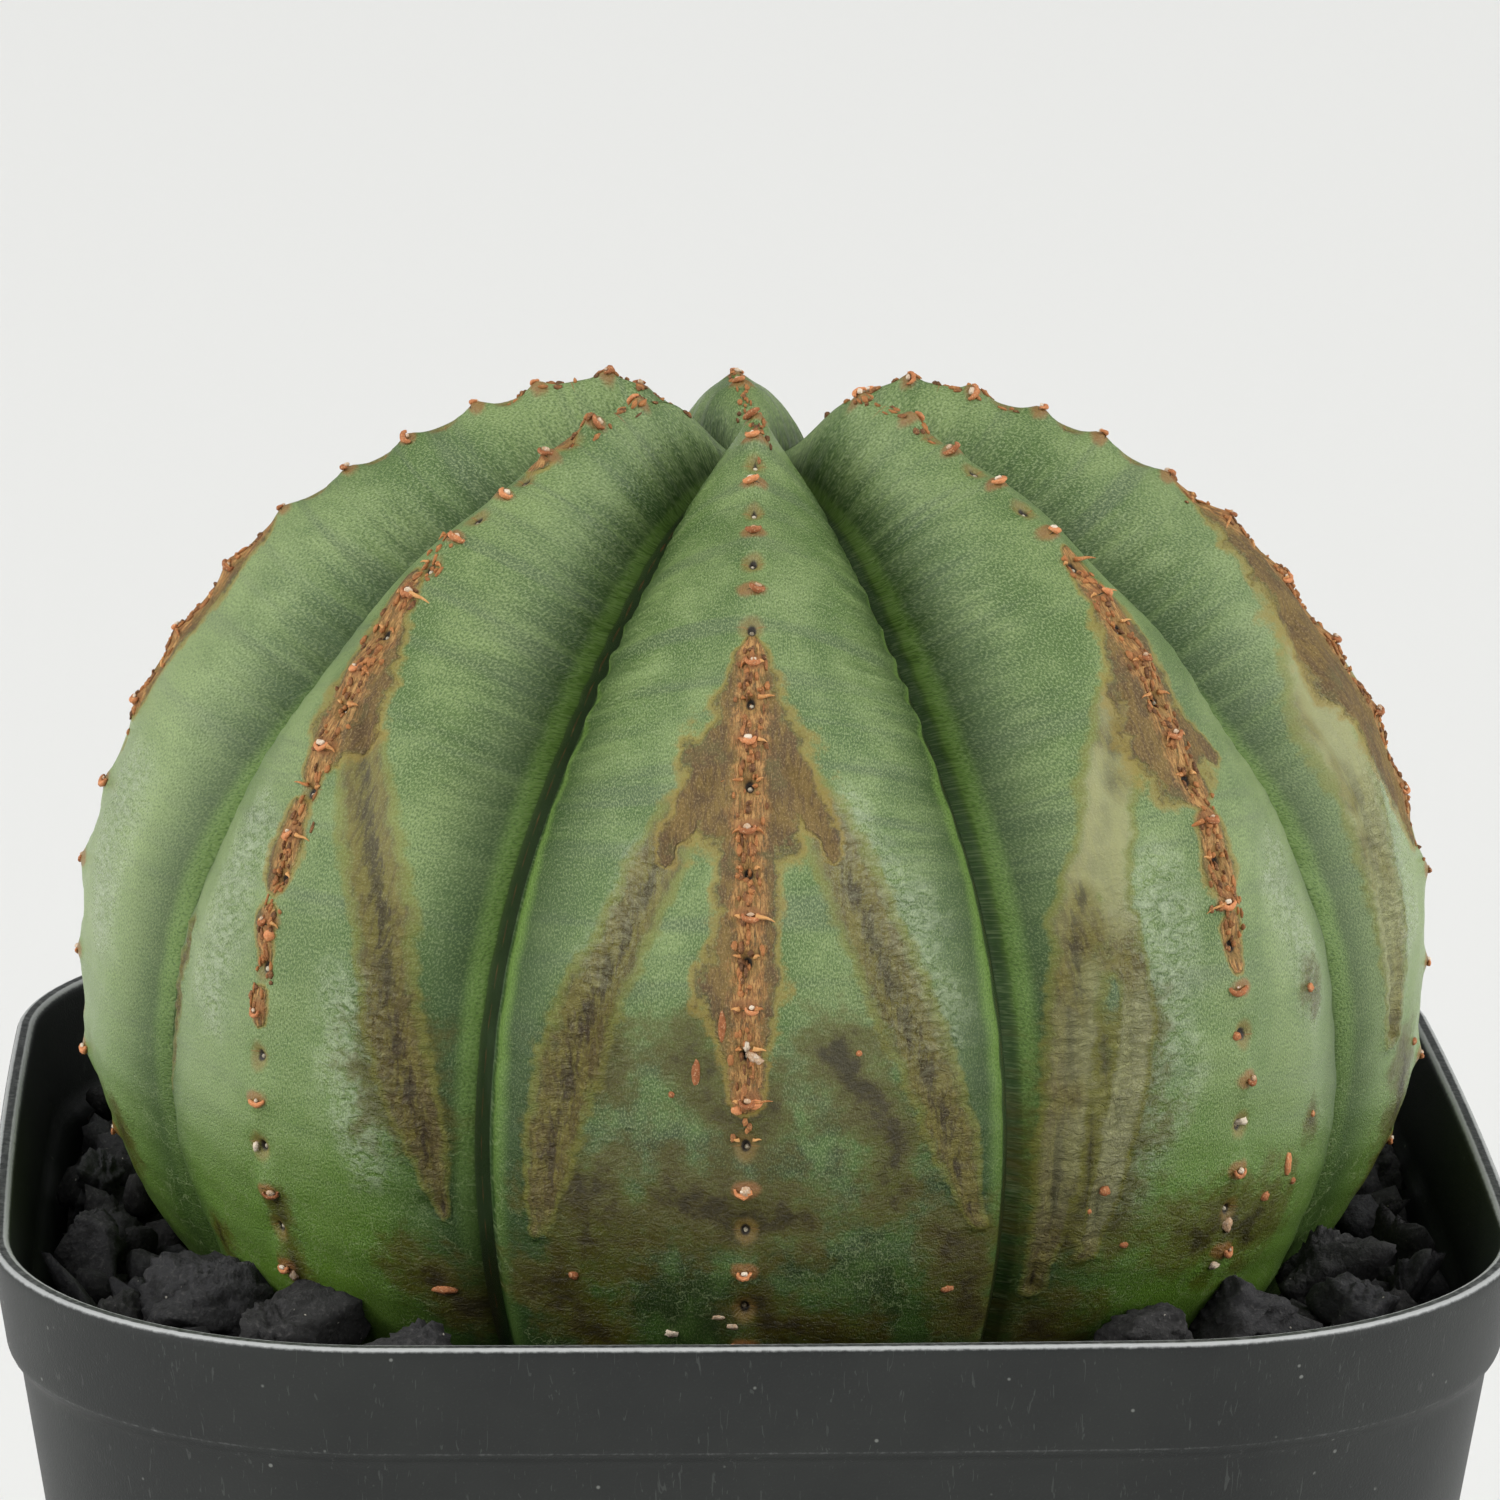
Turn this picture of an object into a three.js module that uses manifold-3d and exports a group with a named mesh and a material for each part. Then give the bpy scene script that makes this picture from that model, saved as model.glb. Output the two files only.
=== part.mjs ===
// Potted euphorbia: a ribbed globular succulent in a square plastic nursery pot,
// bedded in potting mix and dressed with dark gravel. Millimetres, +Z up, front faces -Y.
// The origin is the middle of the pot's underside.
import * as THREE from 'three';
import { mergeVertices } from 'three/addons/utils/BufferGeometryUtils.js';
import Module from 'manifold-3d';

const wasm = await Module();
wasm.setup();

// ---- pot ----
const POT_HEIGHT = 82;
const POT_HALF_TOP = 44.5;       // half the width across the rim
const POT_HALF_BOTTOM = 31.8;    // half the width just above the foot
const POT_CORNER_TOP = 22.4;     // corner radius at the rim
const POT_CORNER_BOTTOM = 16;
const POT_WALL = 1.2;
const POT_FLOOR = 1.6;
const BAND_DEPTH = 6.6;          // height of the stiffening band under the rim
const BAND_STEP = 0.6;           // how far the wall steps in below the band
const BAND_CHAMFER = 0.9;
const EDGE_BREAK = 0.3;
const FOOT_RADIUS = 0.9;
const ARC_STEPS = 7;             // facets in each rounded corner
const SIDE_STEPS = 5;            // facets along each straight side
const DRAIN_RADIUS = 3.5;
const DRAIN_OFFSET = 15;
const DRAIN_FACETS = 20;

// ---- fill ----
const GAP = 0.35;                // clearance between neighbouring pieces
const SOIL_TOP = POT_HEIGHT - 9.2;
const SOIL_UNEVEN = 0.35;
const SOIL_RINGS = [0.33, 0.66];  // share of the way from the pot's wall to the plant
const SOCKET_MARGIN = 3 * GAP;   // room left round the buried part of the plant
const MOUTH_REACH = 4.2;           // the socket's mouth is sized on the plant this far above the mix
const MOUTH_TUCK = 2.4;

// ---- plant ----
const PLANT_X = 0.7;             // the plant stands a touch off the pot's middle
const PLANT_ROWS = 42;
const RIB_AZIMUTH = [-3.2, 41.3, 85.5, 131, 183, 225, 269.5, 312.8];
const GROOVE_AZIMUTH = [20.8, 64.5, 108, 158, 206, 247, 291, 333];
const RIB_DROP = [0.6, 0.2, 0.3, 2.6, 2.6, 2.6, 0.3, 0.3];   // how much lower each rib's shoulder is
const DROP_FROM = 18;
const DROP_FULL = 45;
const PHASES = [0, 0.2, 0.45, 0.72, 0.9];   // from crest (0) towards groove (1)
const RIB_FULLNESS = 2.1;
// radius and height above the rim, down the crest of a rib and down a groove
const MERIDIAN = [
  { crest: [0, 41.0], groove: [0, 41.0] },
  { crest: [3.0, 42.6], groove: [2.2, 40.6] },
  { crest: [7.4, 46.0], groove: [5.6, 40.6] },
  { crest: [12.2, 45.8], groove: [9.6, 39.9] },
  { crest: [18.2, 43.6], groove: [14.0, 38.3] },
  { crest: [24.6, 40.4], groove: [19.0, 35.2] },
  { crest: [30.2, 35.9], groove: [24.2, 31.2] },
  { crest: [34.7, 30.0], groove: [29.2, 26.7] },
  { crest: [37.9, 23.9], groove: [33.2, 22.0] },
  { crest: [39.9, 17.0], groove: [36.2, 16.0] },
  { crest: [40.4, 10.2], groove: [37.4, 9.6] },
  { crest: [39.9, 4.6], groove: [37.1, 4.2] },
  { crest: [38.3, -0.6], groove: [35.9, -0.8] },
  { crest: [35.6, -5.2], groove: [33.8, -5.4] },
  { crest: [31.8, -9.4], groove: [30.4, -9.6] },
  { crest: [26.0, -13.4], groove: [25.2, -13.6] },
  { crest: [16.0, -19.0], groove: [15.8, -19.0] },
  { crest: [8.6, -27.0], groove: [8.4, -27.0] },
  { crest: [4.6, -38.0], groove: [4.4, -38.0] },
  { crest: [0, -47.0], groove: [0, -47.0] },
];

// ---- gravel: x, y, length, width, height, turn in degrees ----
const MAIN_STONES = [
  [-31.8, -21.8, 7.0, 5.0, 5.4, -25],
  [-26.0, -28.6, 6.4, 4.4, 4.8, -18],
  [-39.2, -10.6, 4.4, 3.2, 4.6, 85],
  [-39.6, -16.2, 3.6, 3.0, 3.8, 20],
  [-37.6, -22.2, 4.2, 3.2, 3.4, 55],
  [-39.0, 6.6, 3.8, 2.8, 4.0, 88],
  [-20.6, -33.6, 5.6, 3.8, 3.6, -12],
  [34.4, -16.6, 5.4, 4.4, 5.0, 15],
  [39.5, -9.4, 4.8, 3.0, 4.6, 85],
  [39.4, -15.6, 3.6, 2.6, 4.2, 75],
  [28.8, -26.8, 8.0, 5.0, 4.8, 40],
  [34.8, -23.4, 4.2, 3.6, 3.6, 30],
  [21.8, -33.0, 4.6, 3.8, 4.2, 15],
  [39.7, 8.2, 3.6, 2.6, 4.2, 88],
];
const FILLER_COUNT = 38;
const FILLER_TRIES = 6000;
const FILLER_RADIUS = [1.5, 2.9];
const FILLER_SQUASH = [0.62, 0.9];
const FILLER_SIZE_SPREAD = 0.6;
const PLANT_OVERHANG = 3;        // height over a stone in which the plant's bulge is kept clear
const STONE_ROUGHNESS = 0.2;

function material(color, roughness) {
  return new THREE.MeshStandardMaterial({ color, roughness, metalness: 0 });
}

function named(name, geometry, look) {
  const mesh = new THREE.Mesh(geometry, look);
  mesh.name = name;
  return mesh;
}

// Repeatable pseudo-random numbers in [0, 1).
function makeRandom(seed) {
  let state = seed;
  return () => {
    state = (Math.imul(state, 1664525) + 1013904223) >>> 0;
    return state / 4294967296;
  };
}

function mix(a, b, t) {
  return a + (b - a) * t;
}

function smooth(from, to, value) {
  const t = Math.min(Math.max((value - from) / (to - from), 0), 1);
  return t * t * (3 - 2 * t);
}

// Outline of a square with rounded corners, counter-clockwise, at one height.
function squareRing(half, corner, z) {
  const ring = [];
  for (let quadrant = 0; quadrant < 4; quadrant++) {
    const turn = quadrant * Math.PI / 2;
    const cx = (half - corner) * Math.SQRT2 * Math.cos(turn + Math.PI / 4);
    const cy = (half - corner) * Math.SQRT2 * Math.sin(turn + Math.PI / 4);
    for (let step = 0; step <= ARC_STEPS; step++) {
      const angle = turn + (step / ARC_STEPS) * Math.PI / 2;
      ring.push([cx + corner * Math.cos(angle), cy + corner * Math.sin(angle), z]);
    }
    const [x, y] = ring[ring.length - 1];
    const run = 2 * (half - corner);
    for (let step = 1; step < SIDE_STEPS; step++) {
      const along = run * step / SIDE_STEPS;
      ring.push([x - along * Math.cos(turn), y - along * Math.sin(turn), z]);
    }
  }
  return ring;
}

// The same number of points on a circle, matched to squareRing by angle.
function circleRing(radius, z, x0) {
  return squareRing(POT_HALF_TOP, POT_CORNER_TOP, z).map(([x, y]) => {
    const angle = Math.atan2(y, x);
    return [x0 + radius * Math.cos(angle), radius * Math.sin(angle), z];
  });
}

// Closed skin over a stack of rings, with a single point at each end.
function loft(first, rings, last) {
  const count = rings[0].length;
  const points = [first, ...rings.flat(), last];
  const faces = [];
  const at = (row, col) => 1 + row * count + (col % count);
  for (let col = 0; col < count; col++) {
    faces.push(0, at(0, col + 1), at(0, col));
    for (let row = 0; row + 1 < rings.length; row++) {
      faces.push(at(row, col), at(row, col + 1), at(row + 1, col + 1));
      faces.push(at(row, col), at(row + 1, col + 1), at(row + 1, col));
    }
    faces.push(points.length - 1, at(rings.length - 1, col), at(rings.length - 1, col + 1));
  }
  const geometry = new THREE.BufferGeometry();
  geometry.setAttribute('position', new THREE.Float32BufferAttribute(points.flat(), 3));
  geometry.setIndex(faces);
  geometry.computeVertexNormals();
  return geometry;
}

// ---- joining and cutting ----
function toSolid(geometry) {
  const bare = new THREE.BufferGeometry();
  bare.setAttribute('position', geometry.getAttribute('position').clone());
  if (geometry.index) {
    bare.setIndex(geometry.index.clone());
  }
  const merged = mergeVertices(bare, 1e-5);
  return new wasm.Manifold(new wasm.Mesh({
    numProp: 3,
    vertProperties: new Float32Array(merged.getAttribute('position').array),
    triVerts: new Uint32Array(merged.index.array),
  }));
}

function toGeometry(solid) {
  const mesh = solid.getMesh();
  const geometry = new THREE.BufferGeometry();
  geometry.setAttribute('position', new THREE.Float32BufferAttribute(mesh.vertProperties, 3));
  geometry.setIndex(Array.from(mesh.triVerts));
  geometry.computeVertexNormals();
  return geometry;
}

// ---- pot ----
// Half width of the wall's outer face at a height.
function potHalf(z) {
  const bandFoot = POT_HEIGHT - BAND_DEPTH;
  const taper = (POT_HALF_TOP - BAND_STEP - POT_HALF_BOTTOM) / (POT_HEIGHT - FOOT_RADIUS);
  const stepIn = z > bandFoot - BAND_CHAMFER / 2 ? 0 : BAND_STEP;
  return POT_HALF_TOP - taper * (POT_HEIGHT - z) - stepIn;
}

function potCorner(z) {
  return mix(POT_CORNER_BOTTOM, POT_CORNER_TOP, z / POT_HEIGHT);
}

function outerRing(z, inset) {
  return squareRing(potHalf(z) - inset, potCorner(z) - inset, z);
}

function potShell() {
  const bandFoot = POT_HEIGHT - BAND_DEPTH;
  const wallTop = bandFoot - BAND_CHAMFER;
  const inside = POT_WALL;
  return loft([0, 0, 0], [
    outerRing(0, FOOT_RADIUS),
    outerRing(FOOT_RADIUS, 0),
    outerRing(wallTop / 2, 0),
    outerRing(wallTop, 0),
    outerRing(bandFoot, 0),
    outerRing(POT_HEIGHT - EDGE_BREAK, 0),
    outerRing(POT_HEIGHT, EDGE_BREAK),
    outerRing(POT_HEIGHT, inside - EDGE_BREAK),
    outerRing(POT_HEIGHT - EDGE_BREAK, inside),
    outerRing(bandFoot, inside),
    outerRing(wallTop, inside),
    outerRing(wallTop / 2, inside),
    outerRing(POT_FLOOR + FOOT_RADIUS, inside),
    outerRing(POT_FLOOR, inside + FOOT_RADIUS),
  ], [0, 0, POT_FLOOR]);
}

function drainHole(x, y) {
  const height = POT_FLOOR * 4;
  const drill = new THREE.CylinderGeometry(DRAIN_RADIUS, DRAIN_RADIUS, height, DRAIN_FACETS);
  drill.rotateX(Math.PI / 2);
  drill.translate(x, y, 0);
  return toSolid(drill);
}

function pot() {
  let solid = toSolid(potShell());
  for (const sx of [-1, 1]) {
    for (const sy of [-1, 1]) {
      solid = solid.subtract(drainHole(sx * DRAIN_OFFSET, sy * DRAIN_OFFSET));
    }
  }
  return named('pot', toGeometry(solid), material(0x3a3f3d, 0.5));
}

// ---- plant ----
// Smooth path through one column of the meridian table, heights measured from the pot's underside.
function meridianPath(key) {
  const points = MERIDIAN.map((entry) => {
    const [radius, height] = entry[key];
    return new THREE.Vector3(radius, 0, POT_HEIGHT + height);
  });
  return new THREE.CatmullRomCurve3(points, false, 'centripetal');
}

// Azimuth, rib phase and shoulder drop of every column, once around the plant.
function plantColumns() {
  const columns = [];
  const ribs = RIB_AZIMUTH.length;
  for (let rib = 0; rib < ribs; rib++) {
    const crest = RIB_AZIMUTH[rib];
    const after = GROOVE_AZIMUTH[rib];
    const next = RIB_AZIMUTH[(rib + 1) % ribs] + (rib + 1 === ribs ? 360 : 0);
    const nextDrop = RIB_DROP[(rib + 1) % ribs];
    for (const phase of PHASES) {
      columns.push({ azimuth: mix(crest, after, phase), phase, drop: RIB_DROP[rib] });
    }
    columns.push({ azimuth: after, phase: 1, drop: (RIB_DROP[rib] + nextDrop) / 2 });
    for (const phase of PHASES.slice(1).reverse()) {
      columns.push({ azimuth: mix(next, after, phase), phase, drop: nextDrop });
    }
  }
  return columns;
}

function plantRing(crest, groove, columns) {
  return columns.map(({ azimuth, phase, drop }) => {
    const height = 1 - Math.pow(phase, RIB_FULLNESS);
    const radius = mix(groove.x, crest.x, height);
    const rise = mix(groove.z, crest.z, height);
    const sunk = drop * smooth(DROP_FROM, DROP_FULL, crest.z - POT_HEIGHT);
    const angle = THREE.MathUtils.degToRad(azimuth);
    return [PLANT_X + radius * Math.sin(angle), -radius * Math.cos(angle), rise - sunk];
  });
}

function plant() {
  const crestPath = meridianPath('crest');
  const groovePath = meridianPath('groove');
  const columns = plantColumns();
  const rings = [];
  for (let row = 1; row < PLANT_ROWS; row++) {
    const t = 1 - row / PLANT_ROWS;
    rings.push(plantRing(crestPath.getPoint(t), groovePath.getPoint(t), columns));
  }
  const tip = crestPath.getPoint(1);
  const crown = crestPath.getPoint(0);
  const apexDrop = Math.max(...RIB_DROP);
  const body = loft([PLANT_X, 0, tip.z], rings, [PLANT_X, 0, crown.z - apexDrop]);
  return named('euphorbia', body, material(0x5f7d62, 0.5));
}

// Largest plant radius at a height above the rim, read off the crest path.
function plantRadius(height) {
  let widest = 0;
  for (const { crest } of MERIDIAN) {
    if (crest[1] <= height) {
      widest = Math.max(widest, crest[0]);
    }
  }
  return widest;
}

// ---- potting mix ----
function soil() {
  const random = makeRandom(11);
  const wall = POT_WALL + GAP;
  const floor = POT_FLOOR + GAP;
  const middle = SOIL_TOP / 2;
  const rim = outerRing(SOIL_TOP, wall);
  const socket = plantSocket();
  const mouth = socket[0];
  const between = (share) => rim.map(([x, y], index) => {
    const [mx, my] = mouth[index];
    const z = SOIL_TOP + SOIL_UNEVEN * (random() * 2 - 1);
    return [mix(x, mx, share), mix(y, my, share), z];
  });
  const body = loft([0, 0, floor], [
    outerRing(floor, wall + FOOT_RADIUS),
    outerRing(floor + FOOT_RADIUS, wall),
    outerRing(middle, wall),
    rim,
    ...SOIL_RINGS.map(between),
    ...socket,
  ], [PLANT_X, 0, POT_HEIGHT + MERIDIAN[MERIDIAN.length - 1].crest[1] - 2 * GAP]);
  return named('potting_mix', body, material(0x241f1b, 0.95));
}

// Rings of the hollow that the plant's buried part sits in.
function plantSocket() {
  const rings = [];
  const mouthRadius = plantRadius(SOIL_TOP - POT_HEIGHT + MOUTH_REACH) + GAP - MOUTH_TUCK;
  rings.push(circleRing(mouthRadius, SOIL_TOP, PLANT_X));
  for (const { crest } of MERIDIAN) {
    const [radius, height] = crest;
    if (POT_HEIGHT + height < SOIL_TOP - GAP && radius > 0) {
      rings.push(circleRing(radius + SOCKET_MARGIN, POT_HEIGHT + height - GAP, PLANT_X));
    }
  }
  return rings;
}

// ---- gravel ----
// A rough lump inside an ellipsoid, resting just above the mix.
function stone(name, [x, y, length, width, height, turn], detail, seed) {
  const random = makeRandom(seed);
  const lump = new THREE.IcosahedronGeometry(1, detail);
  lump.deleteAttribute('uv');
  lump.deleteAttribute('normal');
  const shape = mergeVertices(lump, 1e-4);
  const spots = shape.getAttribute('position');
  const corner = new THREE.Vector3();
  const tilt = new THREE.Euler(random() * Math.PI, random() * Math.PI, random() * Math.PI);
  for (let index = 0; index < spots.count; index++) {
    corner.fromBufferAttribute(spots, index);
    corner.applyEuler(tilt);
    corner.multiplyScalar(1 - STONE_ROUGHNESS * random());
    spots.setXYZ(index, corner.x * length / 2, corner.y * width / 2, corner.z * height / 2);
  }
  shape.rotateZ(THREE.MathUtils.degToRad(turn));
  shape.computeBoundingBox();
  const lift = SOIL_TOP + SOIL_UNEVEN + GAP - shape.boundingBox.min.z;
  shape.translate(x, y, lift);
  shape.computeVertexNormals();
  const shade = 0x2b2a2a + Math.floor(random() * 3) * 0x030303;
  return named(name, shape, material(shade, 0.85));
}

// Distance from a spot on the gravel inwards to the pot's inner wall.
function wallRoom(x, y) {
  const half = potHalf(SOIL_TOP) - POT_WALL;
  const corner = potCorner(SOIL_TOP) - POT_WALL;
  const dx = Math.max(Math.abs(x) - (half - corner), 0);
  const dy = Math.max(Math.abs(y) - (half - corner), 0);
  return corner - Math.hypot(dx, dy);
}

// Scatter small stones over the bare mix, each clear of its neighbours, the plant and the wall.
function fillerStones() {
  const random = makeRandom(2026);
  const placed = MAIN_STONES.map(([x, y, length]) => [x, y, length / 2]);
  const fillers = [];
  for (let attempt = 0; attempt < FILLER_TRIES && fillers.length < FILLER_COUNT; attempt++) {
    const share = 1 - attempt / FILLER_TRIES;
    const radius = mix(FILLER_RADIUS[0], FILLER_RADIUS[1], share * mix(FILLER_SIZE_SPREAD, 1, random()));
    const x = mix(-POT_HALF_TOP, POT_HALF_TOP, random());
    const y = mix(-POT_HALF_TOP, POT_HALF_TOP, random());
    const squash = mix(FILLER_SQUASH[0], FILLER_SQUASH[1], random());
    const top = SOIL_TOP - POT_HEIGHT + 2 * radius + 2 * GAP + PLANT_OVERHANG;
    const clearWall = wallRoom(x, y) > radius + GAP;
    const clearPlant = Math.hypot(x - PLANT_X, y) > plantRadius(top) + radius + GAP;
    const clearStones = placed.every(([sx, sy, sr]) => Math.hypot(x - sx, y - sy) > sr + radius + GAP);
    if (clearWall && clearPlant && clearStones) {
      placed.push([x, y, radius]);
      fillers.push([x, y, 2 * radius, 2 * radius * squash, 2 * radius * squash, random() * 180]);
    }
  }
  return fillers;
}

function gravel() {
  const main = MAIN_STONES.map((row, index) => stone(`stone_${index + 1}`, row, 1, 40 + index * 7));
  const small = fillerStones().map((row, index) => stone(`pebble_${index + 1}`, row, 0, 500 + index * 13));
  return [...main, ...small];
}

const pottedEuphorbia = new THREE.Group();
pottedEuphorbia.name = 'potted_euphorbia';
pottedEuphorbia.add(pot(), soil(), plant(), ...gravel());
export default pottedEuphorbia;
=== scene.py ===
# %% [markdown]
# # Potted euphorbia
#
# A ball-shaped, eight-ribbed euphorbia in a square plastic nursery pot, dressed with dark gravel.
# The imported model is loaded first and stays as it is: it is the fixed frame that every piece is
# placed by. The pieces below are finer skins for its solids, each worked out as an array of points.

import math

import bpy
import numpy as np
from mathutils import Matrix, Vector


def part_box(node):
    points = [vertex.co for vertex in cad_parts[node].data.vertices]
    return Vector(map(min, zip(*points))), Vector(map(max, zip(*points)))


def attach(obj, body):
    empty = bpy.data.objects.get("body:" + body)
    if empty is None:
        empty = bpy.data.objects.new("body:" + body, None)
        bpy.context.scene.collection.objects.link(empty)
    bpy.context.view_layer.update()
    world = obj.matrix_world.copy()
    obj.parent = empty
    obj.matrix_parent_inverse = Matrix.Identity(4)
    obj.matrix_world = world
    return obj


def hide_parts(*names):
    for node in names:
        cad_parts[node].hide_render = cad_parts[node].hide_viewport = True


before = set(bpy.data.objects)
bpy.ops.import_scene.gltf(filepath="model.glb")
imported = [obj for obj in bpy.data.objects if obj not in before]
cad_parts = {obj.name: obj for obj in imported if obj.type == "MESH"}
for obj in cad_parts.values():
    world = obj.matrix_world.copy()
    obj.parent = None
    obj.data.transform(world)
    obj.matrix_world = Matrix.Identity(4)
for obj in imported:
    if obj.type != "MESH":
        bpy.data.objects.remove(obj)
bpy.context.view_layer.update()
MM = 0.001

# %% [markdown]
# ## Camera
#
# A long lens far away keeps the pot's sides nearly parallel, as in a catalogue picture. The camera
# is placed by the angles it looks from rather than by coordinates: it stands on a ball round the
# target, a little above it, and is tipped by a fraction of a degree, as a hand-held one is.

# %% Camera
RIM_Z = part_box("pot")[1].z / MM     # millimetres, as are all the lengths below

LENS = 212.6
SENSOR = 36.0
ELEVATION = math.radians(14.05)
AZIMUTH = math.radians(-2.7)
ROLL = math.radians(0.45)
DISTANCE = 530.0
TARGET = Vector((0.4, 0.0, RIM_Z + 23.1))


def camera_axes(azimuth, elevation, roll):
    """Right, up and back directions: back points from the target to the camera, right is level
    and square to it, and both are then turned by the roll."""
    back = Vector((math.sin(azimuth) * math.cos(elevation),
                   -math.cos(azimuth) * math.cos(elevation),
                   math.sin(elevation)))
    level = Vector((0, 0, 1)).cross(back).normalized()
    over = back.cross(level)
    right = math.cos(roll) * level + math.sin(roll) * over
    up = math.cos(roll) * over - math.sin(roll) * level
    return right, up, back


right, up, back = camera_axes(AZIMUTH, ELEVATION, ROLL)
lens = bpy.data.cameras.new("camera")
lens.lens = LENS
lens.sensor_width = SENSOR
lens.clip_start = 0.01
camera = bpy.data.objects.new("camera", lens)
bpy.context.scene.collection.objects.link(camera)
place = (TARGET + back * DISTANCE) * MM
camera.matrix_world = Matrix.Translation(place) @ Matrix((right, up, back)).transposed().to_4x4()
bpy.context.scene.camera = camera
print("camera at", tuple(round(c, 3) for c in place))

# %% [markdown]
# ## Small tools
#
# Three helpers are used by every piece: a smooth path through a few points, a mesh made from a grid
# of points, and a material builder whose sockets can be added and multiplied in plain Python.

# %% A smooth path
def smooth_path(points, where):
    """Catmull-Rom curve: between two points a cubic, whose slope at each point is half the step
    between that point's two neighbours. where counts points, so 2.5 is midway from 2 to 3."""
    points = np.asarray(points, float)
    padded = np.vstack([2 * points[0] - points[1], points, 2 * points[-1] - points[-2]])
    where = np.asarray(where, float)
    first = np.clip(where.astype(int), 0, len(points) - 2)
    t = (where - first)[..., None]
    a, b, c, d = padded[first], padded[first + 1], padded[first + 2], padded[first + 3]
    return 0.5 * (2 * b + (c - a) * t + (2 * a - 5 * b + 4 * c - d) * t**2
                  + (3 * b - a - 3 * c + d) * t**3)


def smoothstep(low, high, x):
    """0 below low, 1 above high, and the cubic 3t^2 - 2t^3 between."""
    t = np.clip((x - low) / (high - low), 0, 1)
    return t * t * (3 - 2 * t)


def bell(x, width):
    """Gaussian hump: exp(-(x/width)^2)."""
    return np.exp(-(x / width) ** 2)


# %% A mesh from arrays
def closed_faces(rows, columns):
    """Faces round a grid of points that is followed by its two end points: quads between neighbouring
    rows and columns, wrapping round, and triangles from the first and last rows to the ends."""
    r, c = np.meshgrid(np.arange(rows - 1), np.arange(columns), indexing="ij")
    here, beside = r * columns + c, r * columns + (c + 1) % columns
    quads = np.stack([here, here + columns, beside + columns, beside], -1).reshape(-1, 4)
    ring, end = np.arange(columns), rows * columns
    after = np.roll(ring, -1)
    first = np.stack([ring, after, np.full(columns, end)], -1)
    last = np.stack([after + end - columns, ring + end - columns, np.full(columns, end + 1)], -1)
    return quads, np.vstack([first, last])


def make_piece(name, points, *faces):
    """An object at the origin whose mesh holds the points (millimetres) and arrays of faces."""
    mesh = bpy.data.meshes.new(name)
    mesh.from_pydata((np.asarray(points) * MM).tolist(), [], [f for part in faces for f in part.tolist()])
    mesh.update()
    mesh.polygons.foreach_set("use_smooth", np.ones(len(mesh.polygons), bool))
    piece = bpy.data.objects.new(name, mesh)
    bpy.context.scene.collection.objects.link(piece)
    return piece


def store(piece, name, values):
    """Keep one number per point, or three, for a material to read."""
    values = np.asarray(values, np.float32)
    kind, field = ("FLOAT_VECTOR", "vector") if values.shape[-1] == 3 else ("FLOAT", "value")
    layer = piece.data.attributes.new(name, kind, "POINT")
    layer.data.foreach_set(field, values.ravel())


def gather(name, shapes, quads, caps, tones):
    """One piece out of many small shapes that share their faces, with a tone stored for each."""
    count, each = shapes.shape[:2]
    steps = (np.arange(count) * each)[:, None, None]
    quads, caps = (quads + steps).reshape(-1, 4), (caps + steps).reshape(-1, 3)
    piece = make_piece(name, shapes.reshape(-1, 3), quads, caps)
    store(piece, "tone", np.repeat(tones, each))
    return piece


def ball(rows, columns):
    """Directions over a ball, row by row and then its two poles, and the faces through them."""
    tilt = np.pi * (np.arange(rows) + 0.5) / rows
    turn = 2 * np.pi * np.arange(columns) / columns
    tilt, turn = np.meshgrid(tilt, turn, indexing="ij")
    around = np.stack([np.sin(tilt) * np.cos(turn), np.sin(tilt) * np.sin(turn), np.cos(tilt)], -1)
    return np.vstack([around.reshape(-1, 3), [[0, 0, 1], [0, 0, -1]]]), *closed_faces(rows, columns)


# %% Materials as arithmetic
class Wire:
    """A socket of a material that Python arithmetic works on."""

    def __init__(self, finish, socket):
        self.finish = finish
        self.socket = socket

    def math(self, operation, first, second=0.0):
        return self.finish.node("ShaderNodeMath", {"operation": operation}, [first, second])

    def __add__(self, other):
        return self.math("ADD", self, other)

    def __sub__(self, other):
        return self.math("SUBTRACT", self, other)

    def __rsub__(self, other):
        return self.math("SUBTRACT", other, self)

    def __mul__(self, other):
        return self.math("MULTIPLY", self, other)

    def __abs__(self):
        return self.math("ABSOLUTE", self)

    def root(self):
        return self.math("SQRT", self)

    __radd__ = __add__
    __rmul__ = __mul__

    def step(self, low, high):
        """0 below low, 1 above high, smooth between."""
        settings = {"interpolation_type": "SMOOTHSTEP"}
        return self.finish.node("ShaderNodeMapRange", settings,
                                {"Value": self, "From Min": low, "From Max": high})


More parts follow.
